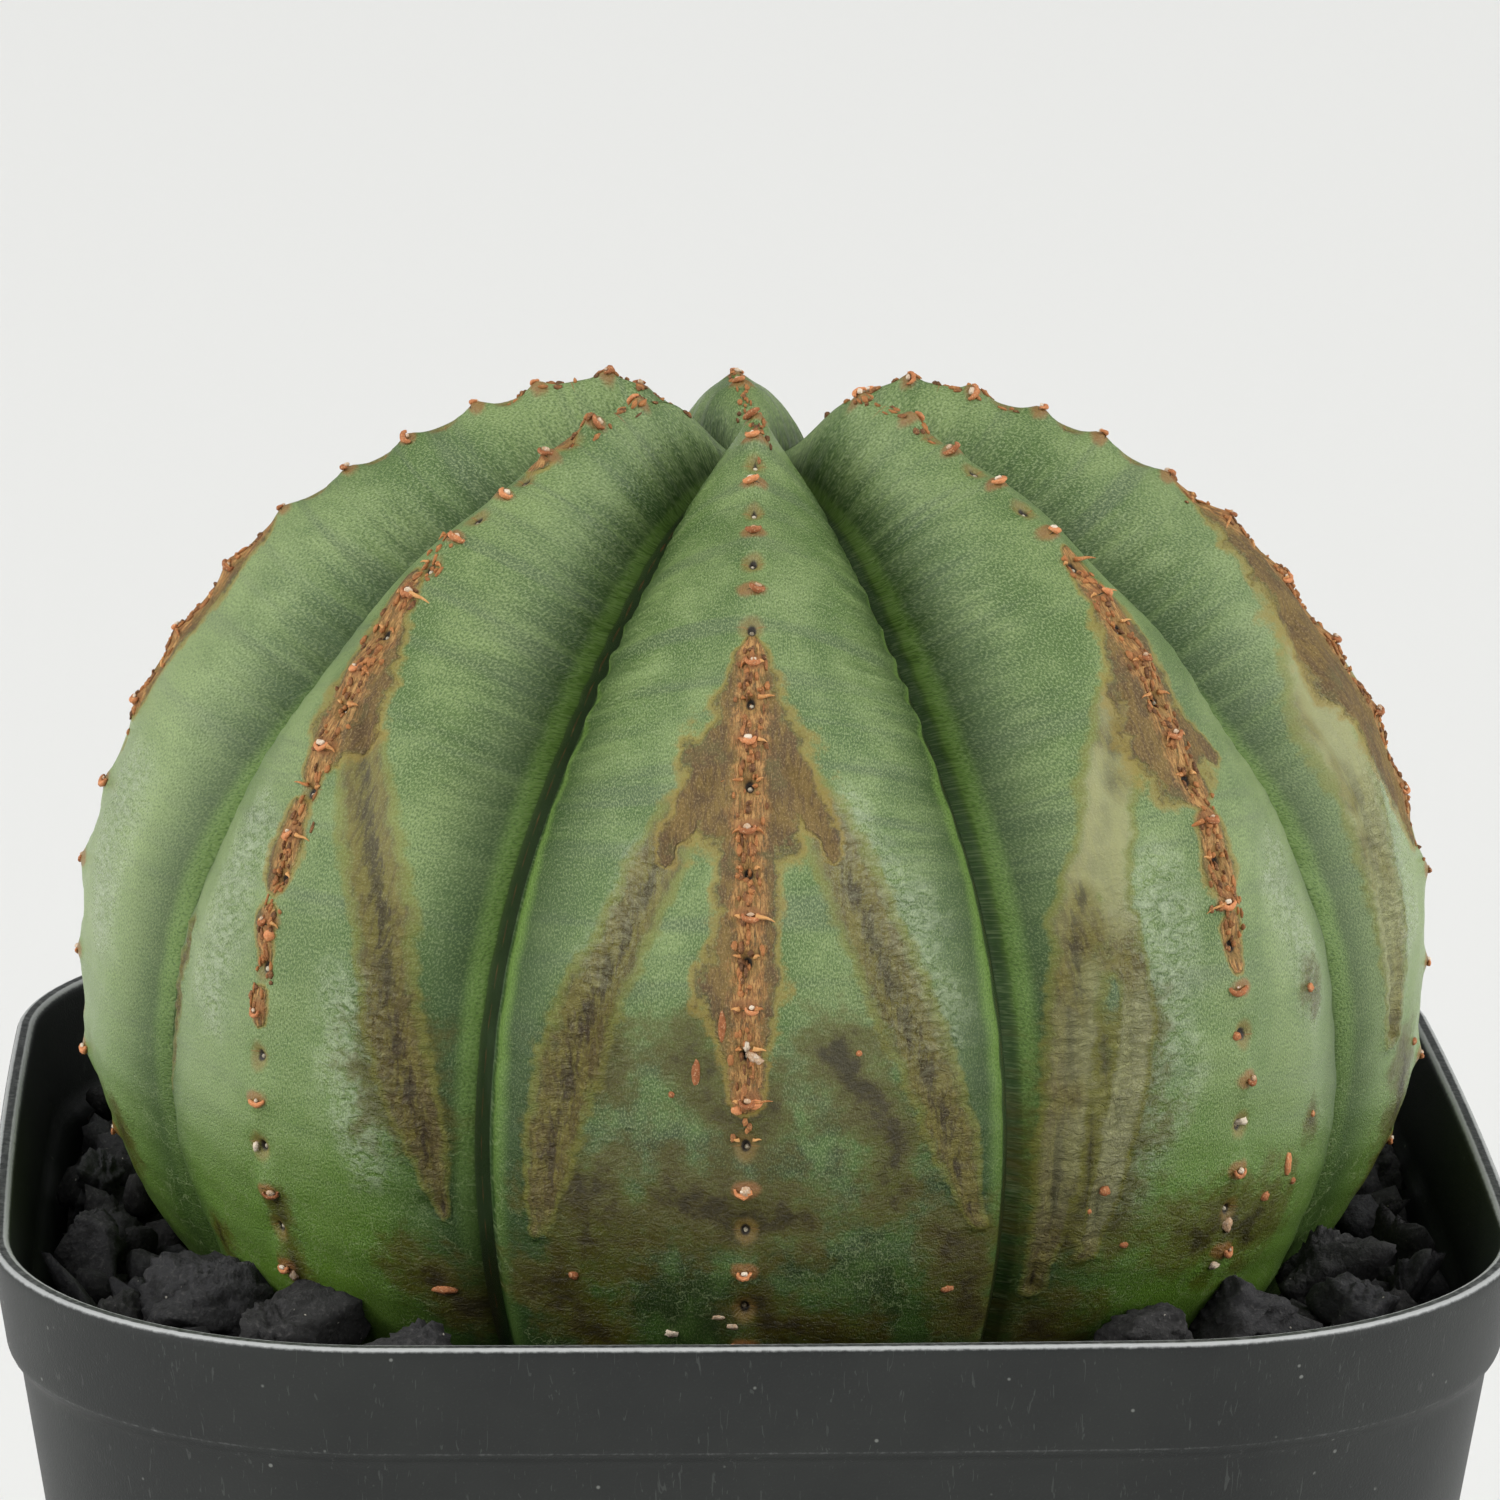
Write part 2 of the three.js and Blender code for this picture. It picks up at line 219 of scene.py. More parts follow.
class Finish:
    """A material under construction."""

    def __init__(self, name):
        self.material = bpy.data.materials.new(name)
        self.material.use_nodes = True
        self.tree = self.material.node_tree
        self.tree.nodes.clear()
        self.shader = self.tree.nodes.new("ShaderNodeBsdfPrincipled")
        output = self.tree.nodes.new("ShaderNodeOutputMaterial")
        self.tree.links.new(self.shader.outputs[0], output.inputs[0])

    def set(self, target, value):
        if isinstance(value, Wire):
            self.tree.links.new(value.socket, target)
        else:
            target.default_value = value

    def node(self, kind, settings=None, inputs=None, output=0):
        made = self.tree.nodes.new(kind)
        for key, value in (settings or {}).items():
            setattr(made, key, value)
        pairs = inputs.items() if isinstance(inputs, dict) else enumerate(inputs or [])
        for key, value in pairs:
            self.set(made.inputs[key], value)
        return Wire(self, made.outputs[output])

    def place(self, scale=(1, 1, 1)):
        """Position on the piece in millimetres, stretched by scale."""
        spot = self.node("ShaderNodeTexCoord", output="Object")
        return self.scaled(spot, [s / MM for s in scale])

    def scaled(self, vector, scale):
        return self.node("ShaderNodeVectorMath", {"operation": "MULTIPLY"}, [vector, scale])

    def stored(self, name, output="Fac"):
        return self.node("ShaderNodeAttribute", {"attribute_name": name}, output=output)

    def noise(self, vector, scale, detail=3.0, roughness=0.5, distortion=0.0):
        return self.node("ShaderNodeTexNoise", None,
                         {"Vector": vector, "Scale": scale, "Detail": detail,
                          "Roughness": roughness, "Distortion": distortion})

    def mottle(self, place, across, along, detail, roughness, distortion=0.0):
        """Noise whose lumps are about 1 / across wide and 1 / along long."""
        return self.noise(self.scaled(place, (across, along, 1)), 1, detail, roughness, distortion)

    def cells(self, vector, scale):
        return self.node("ShaderNodeTexVoronoi", None, {"Vector": vector, "Scale": scale}, "Distance")

    def parts(self, vector):
        """The three numbers of a vector."""
        return [self.node("ShaderNodeSeparateXYZ", None, [vector], i) for i in range(3)]

    def mix(self, first, second, amount):
        """Blend two colours."""
        made = self.tree.nodes.new("ShaderNodeMix")
        made.data_type = "RGBA"
        for index, value in ((0, amount), (6, first), (7, second)):
            self.set(made.inputs[index], value)
        return Wire(self, made.outputs[2])

    def layers(self, base, coats):
        """Lay (colour, amount) coats over a base colour, the first coat at the bottom."""
        colour, *shades = (c if isinstance(c, Wire) else rgb(*c) for c in (base, *(c for c, _ in coats)))
        for shade, (_, amount) in zip(shades, coats):
            colour = self.mix(colour, shade, amount)
        return colour

    def bump(self, height, distance, strength=1.0, normal=None):
        inputs = {"Height": height, "Distance": distance * MM, "Strength": strength}
        if normal is not None:
            inputs["Normal"] = normal
        return self.node("ShaderNodeBump", None, inputs)

    def surface(self, **values):
        """Set the shader's sockets; underscores stand for spaces."""
        for key, value in values.items():
            self.set(self.shader.inputs[key.replace("_", " ")], value)
        return self.material


def rgb(red, green, blue):
    """A colour given as 0-255 screen values, turned into the linear values that shaders use."""
    linear = [(v / 255 / 12.92) if v / 255 < 0.04045 else ((v / 255 + 0.055) / 1.055) ** 2.4
              for v in (red, green, blue)]
    return (*linear, 1.0)


def finish_piece(piece, material, slot, *nodes):
    """Give the piece its material, tie it to the body and hide the frame's parts that it stands for. The
    slot is not used.
    """
    piece.data.materials.append(material)
    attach(piece, "root")
    if nodes:
        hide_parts(*nodes)
    triangles = sum(len(p.vertices) - 2 for p in piece.data.polygons)
    print(piece.name, triangles, "triangles")


# %% [markdown]
# ## The plant's body
#
# The plant is a ball of eight ribs. Two curves say everything about its outline: one runs from the
# crown down the crest of a rib, the other down the groove beside it. Every point of the skin lies
# between them, and the share it takes of each is a power curve, which makes the rib's cross section.
# This gives the real shape with a few numbers, where sculpting would take hours.

# %% Outline of the ribs
PLANT_X = 0.7
RIB_AZIMUTH = np.array([-3.2, 41.3, 85.5, 131, 183, 225, 269.5, 312.8])
GROOVE_AZIMUTH = np.array([20.8, 64.5, 108, 158, 206, 247, 291, 333])
RIB_DROP = np.array([0.6, 0.2, 0.3, 2.6, 2.6, 2.6, 0.3, 0.3])
RIB_ROUND = np.array([0.0, 0.1, 0.3, 0.9, 1.3, 0.9, 0.3, 0.1])   # how full each rib is at the crown
# crest radius, crest height above the rim, groove radius, groove height
MERIDIAN = [
    (0.0, 41.0, 0.0, 41.0), (3.0, 42.6, 2.2, 40.6), (7.4, 46.0, 5.6, 40.6),
    (12.2, 45.8, 9.6, 39.9), (18.2, 43.6, 14.0, 38.3), (24.6, 40.4, 19.0, 35.2),
    (30.2, 35.9, 24.2, 31.2), (34.7, 30.0, 29.2, 26.7), (37.9, 23.9, 33.2, 22.0),
    (39.9, 17.0, 36.2, 16.0), (40.4, 10.2, 37.4, 9.6), (39.9, 4.6, 37.1, 4.2),
    (38.3, -0.6, 35.9, -0.8), (35.6, -5.2, 33.8, -5.4), (31.8, -9.4, 30.4, -9.6),
    (26.0, -13.4, 25.2, -13.6), (16.0, -19.0, 15.8, -19.0), (8.6, -27.0, 8.4, -27.0),
    (4.6, -38.0, 4.4, -38.0), (0.0, -47.0, 0.0, -47.0),
]
SKIN_ROWS = 252
ROOT_ROWS = 12
BURIED_FROM = 14.2               # place in the table where only root is left
HALF_RIB_COLUMNS = 22


def rib_columns(count):
    """Shares of the way from crest (0) to groove (1), crowded at both ends: the running total of
    1 + a hump at the crest + a hump at the groove, turned round to equal steps."""
    fine = np.linspace(0, 1, 2001)
    crowding = 1 + 2.4 * bell(fine, 0.12) + 1.8 * bell(1 - fine, 0.1)
    total = np.cumsum(crowding)
    total = (total - total[0]) / (total[-1] - total[0])
    return np.interp(np.linspace(0, 1, count + 1), total, fine)


def plant_columns():
    """For every column: its azimuth, how far it is from its crest to the groove (signed), its rib,
    and the mean shoulder drop there."""
    share = rib_columns(HALF_RIB_COLUMNS)
    azimuth, phase, rib, drop = [], [], [], []
    for k in range(8):
        after = (k + 1) % 8
        crest, groove = RIB_AZIMUTH[k], GROOVE_AZIMUTH[k]
        following = RIB_AZIMUTH[after] + (360 if after == 0 else 0)
        middle = (RIB_DROP[k] + RIB_DROP[after]) / 2
        azimuth += [crest + (groove - crest) * share[:-1],
                    following + (groove - following) * share[:0:-1]]
        phase += [share[:-1], -share[:0:-1]]
        rib += [np.full(HALF_RIB_COLUMNS, k), np.full(HALF_RIB_COLUMNS, after)]
        level = smoothstep(0.6, 1, share)
        drop += [RIB_DROP[k] + (middle - RIB_DROP[k]) * level[:-1],
                 RIB_DROP[after] + (middle - RIB_DROP[after]) * level[:0:-1]]
    return [np.concatenate(x) for x in (azimuth, phase, rib, drop)]


azimuth, phase, rib, drop = plant_columns()
rows = np.concatenate([np.linspace(0.12, BURIED_FROM, SKIN_ROWS),
                       np.linspace(BURIED_FROM, len(MERIDIAN) - 1, ROOT_ROWS + 2)[1:-1]])
outline = smooth_path(MERIDIAN, rows)
crest_run = np.concatenate([[0], np.cumsum(np.hypot(*np.diff(outline[:, :2], axis=0).T))])
print("columns", len(azimuth), "rows", len(rows), "crest length", round(float(crest_run[SKIN_ROWS - 1]), 1))

# %% Cross section of a rib
CREASE_DEPTH = 1.0
CREASE_WIDTH = 0.035


def plant_surface(rows, azimuth, phase, drop):
    """Skin position: radius and height = groove + (crest - groove) * (1 - |phase|^p), where p grows
    from about 1.45 at the crown, a sharp ridge, to 2.1 at the sides, a broad rib; less a narrow cusp
    depth * exp(-(1 - |phase|) / width) that makes the crease between two ribs."""
    crest_r, crest_z, groove_r, groove_z = (c[:, None] for c in smooth_path(MERIDIAN, rows).T)
    side = np.abs(phase)[None, :]
    fullness = RIB_ROUND[rib][None, :] * smoothstep(6, 2, rows)[:, None]
    power = 1.45 + 0.65 * smoothstep(3, 9, rows)[:, None] + fullness
    share = 1 - side ** power
    radius = groove_r + (crest_r - groove_r) * share
    height = groove_z + (crest_z - groove_z) * share
    height = height - drop[None, :] * smoothstep(18, 45, crest_z)
    crease = CREASE_DEPTH * np.exp(-(1 - side) / CREASE_WIDTH) * smoothstep(1.0, 5.0, rows)[:, None]
    radius = np.maximum(radius - crease * smoothstep(16, 13, rows)[:, None], 0.02 * crest_r)
    angle = np.radians(azimuth)[None, :]
    return np.stack([PLANT_X + radius * np.sin(angle), -radius * np.cos(angle), RIM_Z + height], -1)


base_points = plant_surface(rows, azimuth, phase, drop)

# %% Places on the skin
def along_and_across():
    """Two lengths that say where a point of the skin is: run, along the crest from the crown, and
    across, sideways from the crest: distance from the axis times the turn away from the crest."""
    turn = (azimuth - RIB_AZIMUTH[rib] + 180) % 360 - 180
    reach = np.hypot(base_points[..., 0] - PLANT_X, base_points[..., 1])
    across = reach * np.radians(turn)[None, :]
    run = np.broadcast_to(crest_run[:, None], across.shape)
    return across, run


across, run = along_and_across()
rib_of = np.broadcast_to(rib[None, :], across.shape)
print("widest rib reaches", round(float(across.max()), 1), "mm from its crest")

# %% [markdown]
# ## Marks down the crests
#
# Each rib carries a row of marks: a raised leaf scar, then a small pit where a flower stalk sat, and
# so on down. They start close together at the crown, where the plant is youngest, and spread to
# about five millimetres as the skin stretches. The three ribs that face the front have their own
# spacing; the others follow the same growth with small chance steps.

# %% Where the marks are
FRONT_SCARS = {
    0: [11.3, 14.7, 19.0, 23.8, 28.7, 33.9, 38.9, 44.2, 49.3, 54.5, 59.7, 64.9, 70.1, 75.3],
    7: [11.2, 15.0, 19.0, 23.0, 27.4, 31.9, 37.2, 42.2, 47.6, 52.8, 58.0, 63.2, 68.9, 73.9],
    1: [10.0, 14.2, 17.9, 21.8, 26.6, 31.5, 36.2, 41.0, 46.3, 51.2, 56.1, 61.5, 67.0, 72.2],
}
chance = np.random.default_rng(8)


def scar_runs(k):
    """Distances of the scars from the crown: start + 3.75 j + 0.085 j^2, plus a chance step."""
    if k in FRONT_SCARS:
        return np.array(FRONT_SCARS[k])
    j = np.arange(14)
    return 10.6 + chance.uniform(-0.6, 0.6) + 3.75 * j + 0.085 * j**2 + chance.normal(0, 0.15, 14)


SCARS = [scar_runs(k) for k in range(8)]
PITS = [(runs[1:-1] + runs[2:]) / 2 + 0.1 for runs in SCARS]
SWAY = [chance.uniform(-0.25, 0.25, len(runs)) for runs in SCARS]


def nearest_mark(marks):
    """Signed distance along the crest to the nearest mark of the same rib, for every point."""
    gap = np.full(run.shape, 99.0)
    for k in range(8):
        mine = rib_of == k
        steps = run[mine][:, None] - marks[k][None, :]
        gap[mine] = steps[np.arange(len(steps)), np.abs(steps).argmin(1)]
    return gap


to_scar = nearest_mark(SCARS)
to_pit = nearest_mark(PITS)
print("marks:", sum(len(m) for m in SCARS), "scars and", sum(len(m) for m in PITS), "pits")

# %% [markdown]
# ## Cork, folds and stains
#
# Old skin turns to cork along the crests, dries into brown folds beside them, and stains olive near
# the ground. Each patch is a stroke: a few points on a rib with a width at each. A stroke stores how
# close every point of the skin is to its middle, and the material turns that into a ragged edge by
# adding noise before it draws the line.

# %% Strokes on a rib
def stroke(k, path):
    """Closeness to a line of (across, run, half width) points on rib k: 1 on the line, 0 at the
    half width, down to -1 beyond: 1 - distance / half width, the most over all the segments."""
    closeness = np.full(run.shape, -1.0)
    mine = rib_of == k
    x, y = across[mine], run[mine]
    best = np.full(x.shape, -1.0)
    path = path if len(path) > 1 else path * 2
    for (x0, y0, w0), (x1, y1, w1) in zip(path, path[1:]):
        dx, dy = x1 - x0, y1 - y0
        t = np.clip(((x - x0) * dx + (y - y0) * dy) / max(dx * dx + dy * dy, 1e-9), 0, 1)
        distance = np.hypot(x - x0 - t * dx, y - y0 - t * dy)
        best = np.maximum(best, 1 - distance / (w0 + (w1 - w0) * t))
    closeness[mine] = best
    return closeness


def strokes(patches):
    """The closest of several strokes at every point."""
    return np.maximum.reduce([stroke(k, path) for k, paths in patches.items() for path in paths])


# %% Where the cork, the folds and the stains are
# rib: strokes of (across, run, half width)
CORK = {
    0: [[(0, 31.8, 0.2), (0, 33.6, 1), (0, 37, 2), (0, 40.4, 3.3), (0, 42.6, 3.4)], [(-1.6, 39.4, 1),
        (-3.3, 42.6, 0.9), (-5.2, 46.2, 0.4)], [(1.6, 39, 1), (3.3, 42.2, 0.9), (5.2, 45.8, 0.4)],
        [(0, 42, 2.6), (0, 45.5, 1.6), (-0.1, 50, 1.7), (-0.5, 53.4, 2.2), (-0.3, 56, 1.6),
        (0, 59.5, 0.9)]],
    7: [[(-0.7, 31, 0.8), (0.2, 35.5, 1.5), (0.5, 40.5, 2.1), (-0.1, 43.8, 0.9)], [(-0.4, 46.4, 0.9),
        (-0.4, 49.2, 1.3), (-0.3, 50.6, 0.7)], [(-0.3, 52.8, 0.9), (0, 54.8, 0.6)], [(0, 57.2, 0.6),
        (0, 58.4, 0.5)], [(-1.5, 13, 0.7), (-0.5, 19.5, 0.9)]],
    1: [[(0.3, 28.2, 0.5), (0.2, 33, 1.3), (-0.6, 38.5, 2.1), (-0.6, 42, 2.6), (0.1, 44.6, 1)],
        [(0.2, 46.4, 0.9), (0, 49.4, 1.2), (0, 50.6, 0.7)], [(0, 52.6, 0.8), (0, 54.8, 0.5)],
        [(1, 40.5, 1), (3, 42.8, 0.6)]],
    2: [[(0.3, 27, 0.6), (-0.8, 33, 1.8), (-2, 40, 2.8), (-2.2, 47, 2.4), (-1, 53, 1.4)]],
    6: [[(0.2, 33, 0.9), (0.4, 38, 1.5), (0.2, 46, 1)]],
    3: [[(0, 30, 0.4), (0.4, 37, 1.9), (0.2, 44, 2.6), (-0.5, 53, 2), (0, 58, 0.8)]],
    4: [[(0, 34, 0.4), (-0.3, 40, 1.6), (0.2, 49, 2.4), (0.4, 57, 1.4)]],
    5: [[(0.2, 28, 0.5), (-0.2, 36, 1.7), (0.3, 43, 2.4), (0, 50, 1.6), (0, 56, 1)]],
}
FOLDS = {
    0: [[(-2.4, 41.5, 1.2), (-4.4, 44.4, 1.3), (-5.9, 47.6, 1.4), (-7.2, 50.8, 1.4), (-9.1, 54.8, 1.6),
        (-10.4, 59, 1.6), (-11.4, 63.5, 1.4), (-12, 68.5, 0.5)], [(2.4, 40.5, 1.1), (4.4, 44, 1.4),
        (5.9, 47.4, 1.5), (7.3, 50.8, 1.5), (9, 54.6, 1.5), (10.4, 58.4, 1.4), (12, 62.6, 1.2),
        (13.6, 68, 0.4)]],
    7: [[(1.6, 40.2, 1), (3, 43, 1.3), (5, 47.2, 1.5), (6.9, 51.2, 1.4), (8, 55.4, 1.3), (9.2, 59.4, 1.3),
        (10.6, 63.8, 1), (11.2, 68.5, 0.3)], [(-9.4, 55, 0.7), (-11.2, 60, 1.1), (-12.2, 65, 0.6)]],
    1: [[(-2.4, 38, 1), (-5, 43, 1.3), (-6.8, 48, 0.9), (-7.6, 53.5, 0.5)], [(-5.6, 44, 0.8),
        (-8.8, 50, 1), (-10.4, 57, 1.1), (-11.4, 64, 1), (-11.6, 73, 0.5)], [(-6.6, 51, 0.5),
        (-7, 57, 0.9), (-8.4, 63, 1), (-9.2, 71, 0.5)]],
    2: [[(-3, 38, 1.4), (-6.2, 44, 2), (-7.4, 51, 1.7), (-8.4, 58, 1.5), (-8.4, 64, 1)]],
    3: [[(2, 44, 1), (4.6, 49, 1.5), (7, 56, 1.4), (8.4, 62, 0.9)], [(-2, 45, 1), (-5, 51, 1.4),
        (-7.4, 58, 1.2)]],
    4: [[(1.8, 48, 1), (4.4, 54, 1.4), (6.4, 61, 1)]],
    5: [[(-2, 43, 1), (-5.2, 49, 1.5), (-7.8, 56, 1.5), (-8.8, 63, 0.9)]],
}
STAINS = {
    0: [[(-2.5, 57, 3.4), (0.3, 60.4, 3.8)], [(-8.2, 57.6, 3.6)], [(-9.2, 65, 4.4), (-8.6, 70, 3.6)],
        [(-3.8, 66, 4.6), (2.4, 67, 3.6)], [(12.4, 68.5, 3.2), (13, 75, 2.6)], [(5, 57, 3), (8.4, 62, 2.8),
        (8, 66, 2.2)], [(-12, 72, 3), (-8, 76, 3)], [(0.6, 73, 2.4), (6, 75.5, 3)]],
    7: [[(8.6, 58, 3), (9.6, 62.5, 3.2)], [(0.6, 69.5, 1.2), (0.8, 75, 1.4)], [(9.5, 73, 3),
        (12.5, 76, 2.4)], [(-8, 74.5, 2.4)]],
    1: [[(-8.4, 58, 3.8), (-9.4, 63, 4.6), (-9.6, 69, 4.6)], [(-3, 70.5, 3.2), (3, 71, 4.4)],
        [(7.3, 57.6, 1.9)], [(-10, 76, 3.4)], [(8, 66, 1.6)]],
    2: [[(-6, 66, 2.4), (-5, 73, 3.4)]],
    6: [[(6, 72, 3)]],
    3: [[(-4, 68, 4)], [(5, 72, 3)]],
    4: [[(3, 64, 3.4)], [(-6, 72, 3)]],
    5: [[(-7, 66, 3.8)], [(5, 70, 3)]],
}
# SHEEN: places that get a painted highlight in their colour and a lower roughness
SHEEN = {
    0: [[(5.5, 44, 2.2), (8.5, 50, 2.6), (10.5, 57, 2.2)], [(-6, 46, 1.4), (-8.5, 53, 1.4)]],
    7: [[(6, 56, 2), (7, 61, 2.6), (7.6, 66, 1.6)], [(-4, 48, 2.2), (-5, 58, 2.4)]],
    1: [[(-4.2, 49, 2), (-5.4, 55, 2.8), (-6.6, 61, 2.8), (-7.6, 67, 2)], [(6, 50, 2.4), (7.5, 58, 2)]],
    2: [[(-5, 50, 2.2), (-6, 58, 2.2)]],
    6: [[(5, 50, 2.6), (6, 58, 2.4)]],
    3: [[(5, 52, 2.4)]],
    4: [[(-5, 50, 2.4), (-6, 58, 2)]],
    5: [[(5, 50, 2.4), (6, 57, 2)]],
}
cork, folds, stains, sheen = (strokes(patches) for patches in (CORK, FOLDS, STAINS, SHEEN))
print("cork covers", round(float((cork > 0).mean()) * 100, 1), "% of the points")

# %% Relief
RIDGE_HEIGHT = 0.30
BUMP_HEIGHT = 0.42
PIT_DEPTH = 0.55
FOLD_DEPTH = 0.55
LEVEL_DOWN = 0.30


def outward(points):
    """Unit normals of the grid: the cross product of its two directions, turned away from the axis."""
    down = np.gradient(points, axis=0)
    round_ = np.roll(points, -1, 1) - np.roll(points, 1, 1)
    normal = np.cross(down, round_)
    normal /= np.maximum(np.linalg.norm(normal, axis=-1, keepdims=True), 1e-9)
    away = points - np.array([PLANT_X, 0, RIM_Z + 10])
    return normal * np.sign((normal * away).sum(-1, keepdims=True))


def relief():
    """Height added to the skin: a low ridge on the crest, a bump at each scar, a pit between, a
    sunken line along each fold with wrinkles beside it, scallops along the creases, pleats above
    them, and slow sine ripples everywhere; all lowered so that the crests keep their outline."""
    above_ground = smoothstep(84, 76, run)
    ridge = RIDGE_HEIGHT * np.exp(-np.abs(across) / 1.6) * smoothstep(8, 16, run)
    scar = BUMP_HEIGHT * bell(across, 0.75) * bell(to_scar, 0.62) * (0.6 + 0.5 * smoothstep(30, 12, run))
    saddle = -0.22 * bell(across, 0.8) * bell(to_pit, 1.1)
    pit = -PIT_DEPTH * bell(across, 0.34) * bell(to_pit, 0.4)
    fold = -FOLD_DEPTH * smoothstep(0.2, 1.0, folds) ** 1.5
    lip = 0.16 * bell(folds + 0.1, 0.3)
    wrinkle = 0.07 * np.sin(run * 5.2 + 2.2 * np.sin(across * 0.9)) * smoothstep(-0.9, 0.2, folds)
    wrinkle = wrinkle * smoothstep(48, 56, run)
    corky = 0.06 * smoothstep(-0.1, 0.15, cork) * np.sin(across * 4.1 + 1.3 * np.sin(run * 1.1))
    slow = (0.10 * np.sin(run * 0.52 + rib_of * 1.7 + across * 0.16)
            + 0.07 * np.sin(across * 0.75 + run * 0.23 + rib_of))
    rough = 0.05 * np.sin(run * 1.9 + across * 0.9 + rib_of) * np.sin(across * 1.3 - run * 0.4)
    rough = rough * smoothstep(40, 62, run)
    side = np.abs(phase)[None, :]
    fine = smoothstep(1.0, 0.86, side)
    scallop = 0.15 * np.sin(2.15 * run + 1.6 * np.sin(0.4 * run) + 2.1 * rib_of) * bell(side - 0.92, 0.07)
    scallop = scallop * (0.6 + 0.5 * np.sin(0.23 * run + rib_of))
    scallop = scallop * smoothstep(66, 50, run) * smoothstep(9, 16, run)
    pleat = 0.08 * np.sin(3.9 * run + 1.5 * np.sin(0.9 * run + rib_of) + 0.5 * side)
    pleat = pleat * smoothstep(0.30, 0.75, side) * smoothstep(54, 34, run) * smoothstep(6, 12, run)
    return above_ground * (ridge + scar + saddle + pit - LEVEL_DOWN + scallop + pleat * fine
                           + (fold + lip + wrinkle + corky + slow + rough) * fine)


skin_points = base_points + outward(base_points) * relief()[..., None]

# %% Skin mesh
row_count, column_count = skin_points.shape[:2]
crown = [PLANT_X, 0, skin_points[0, :, 2].mean()]
root_tip = [PLANT_X, 0, RIM_Z + MERIDIAN[-1][1]]
points = np.vstack([skin_points.reshape(-1, 3), [crown, root_tip]])
skin = make_piece("euphorbia_skin", points, *closed_faces(row_count, column_count))


def with_ends(values):
    """Values of the grid followed by those of the crown and the root tip."""
    flat = values.reshape(row_count * column_count, -1)
    return np.vstack([flat, flat[:1], flat[-1:]])


store(skin, "place", with_ends(np.stack([across, run, rib_of * 40.0], -1)))
store(skin, "marks", with_ends(np.stack([across, to_scar, to_pit], -1)))
store(skin, "patches", with_ends(np.stack([cork, folds, stains], -1)))
store(skin, "side", with_ends(np.broadcast_to(np.abs(phase), run.shape)))
store(skin, "sheen", with_ends(sheen))
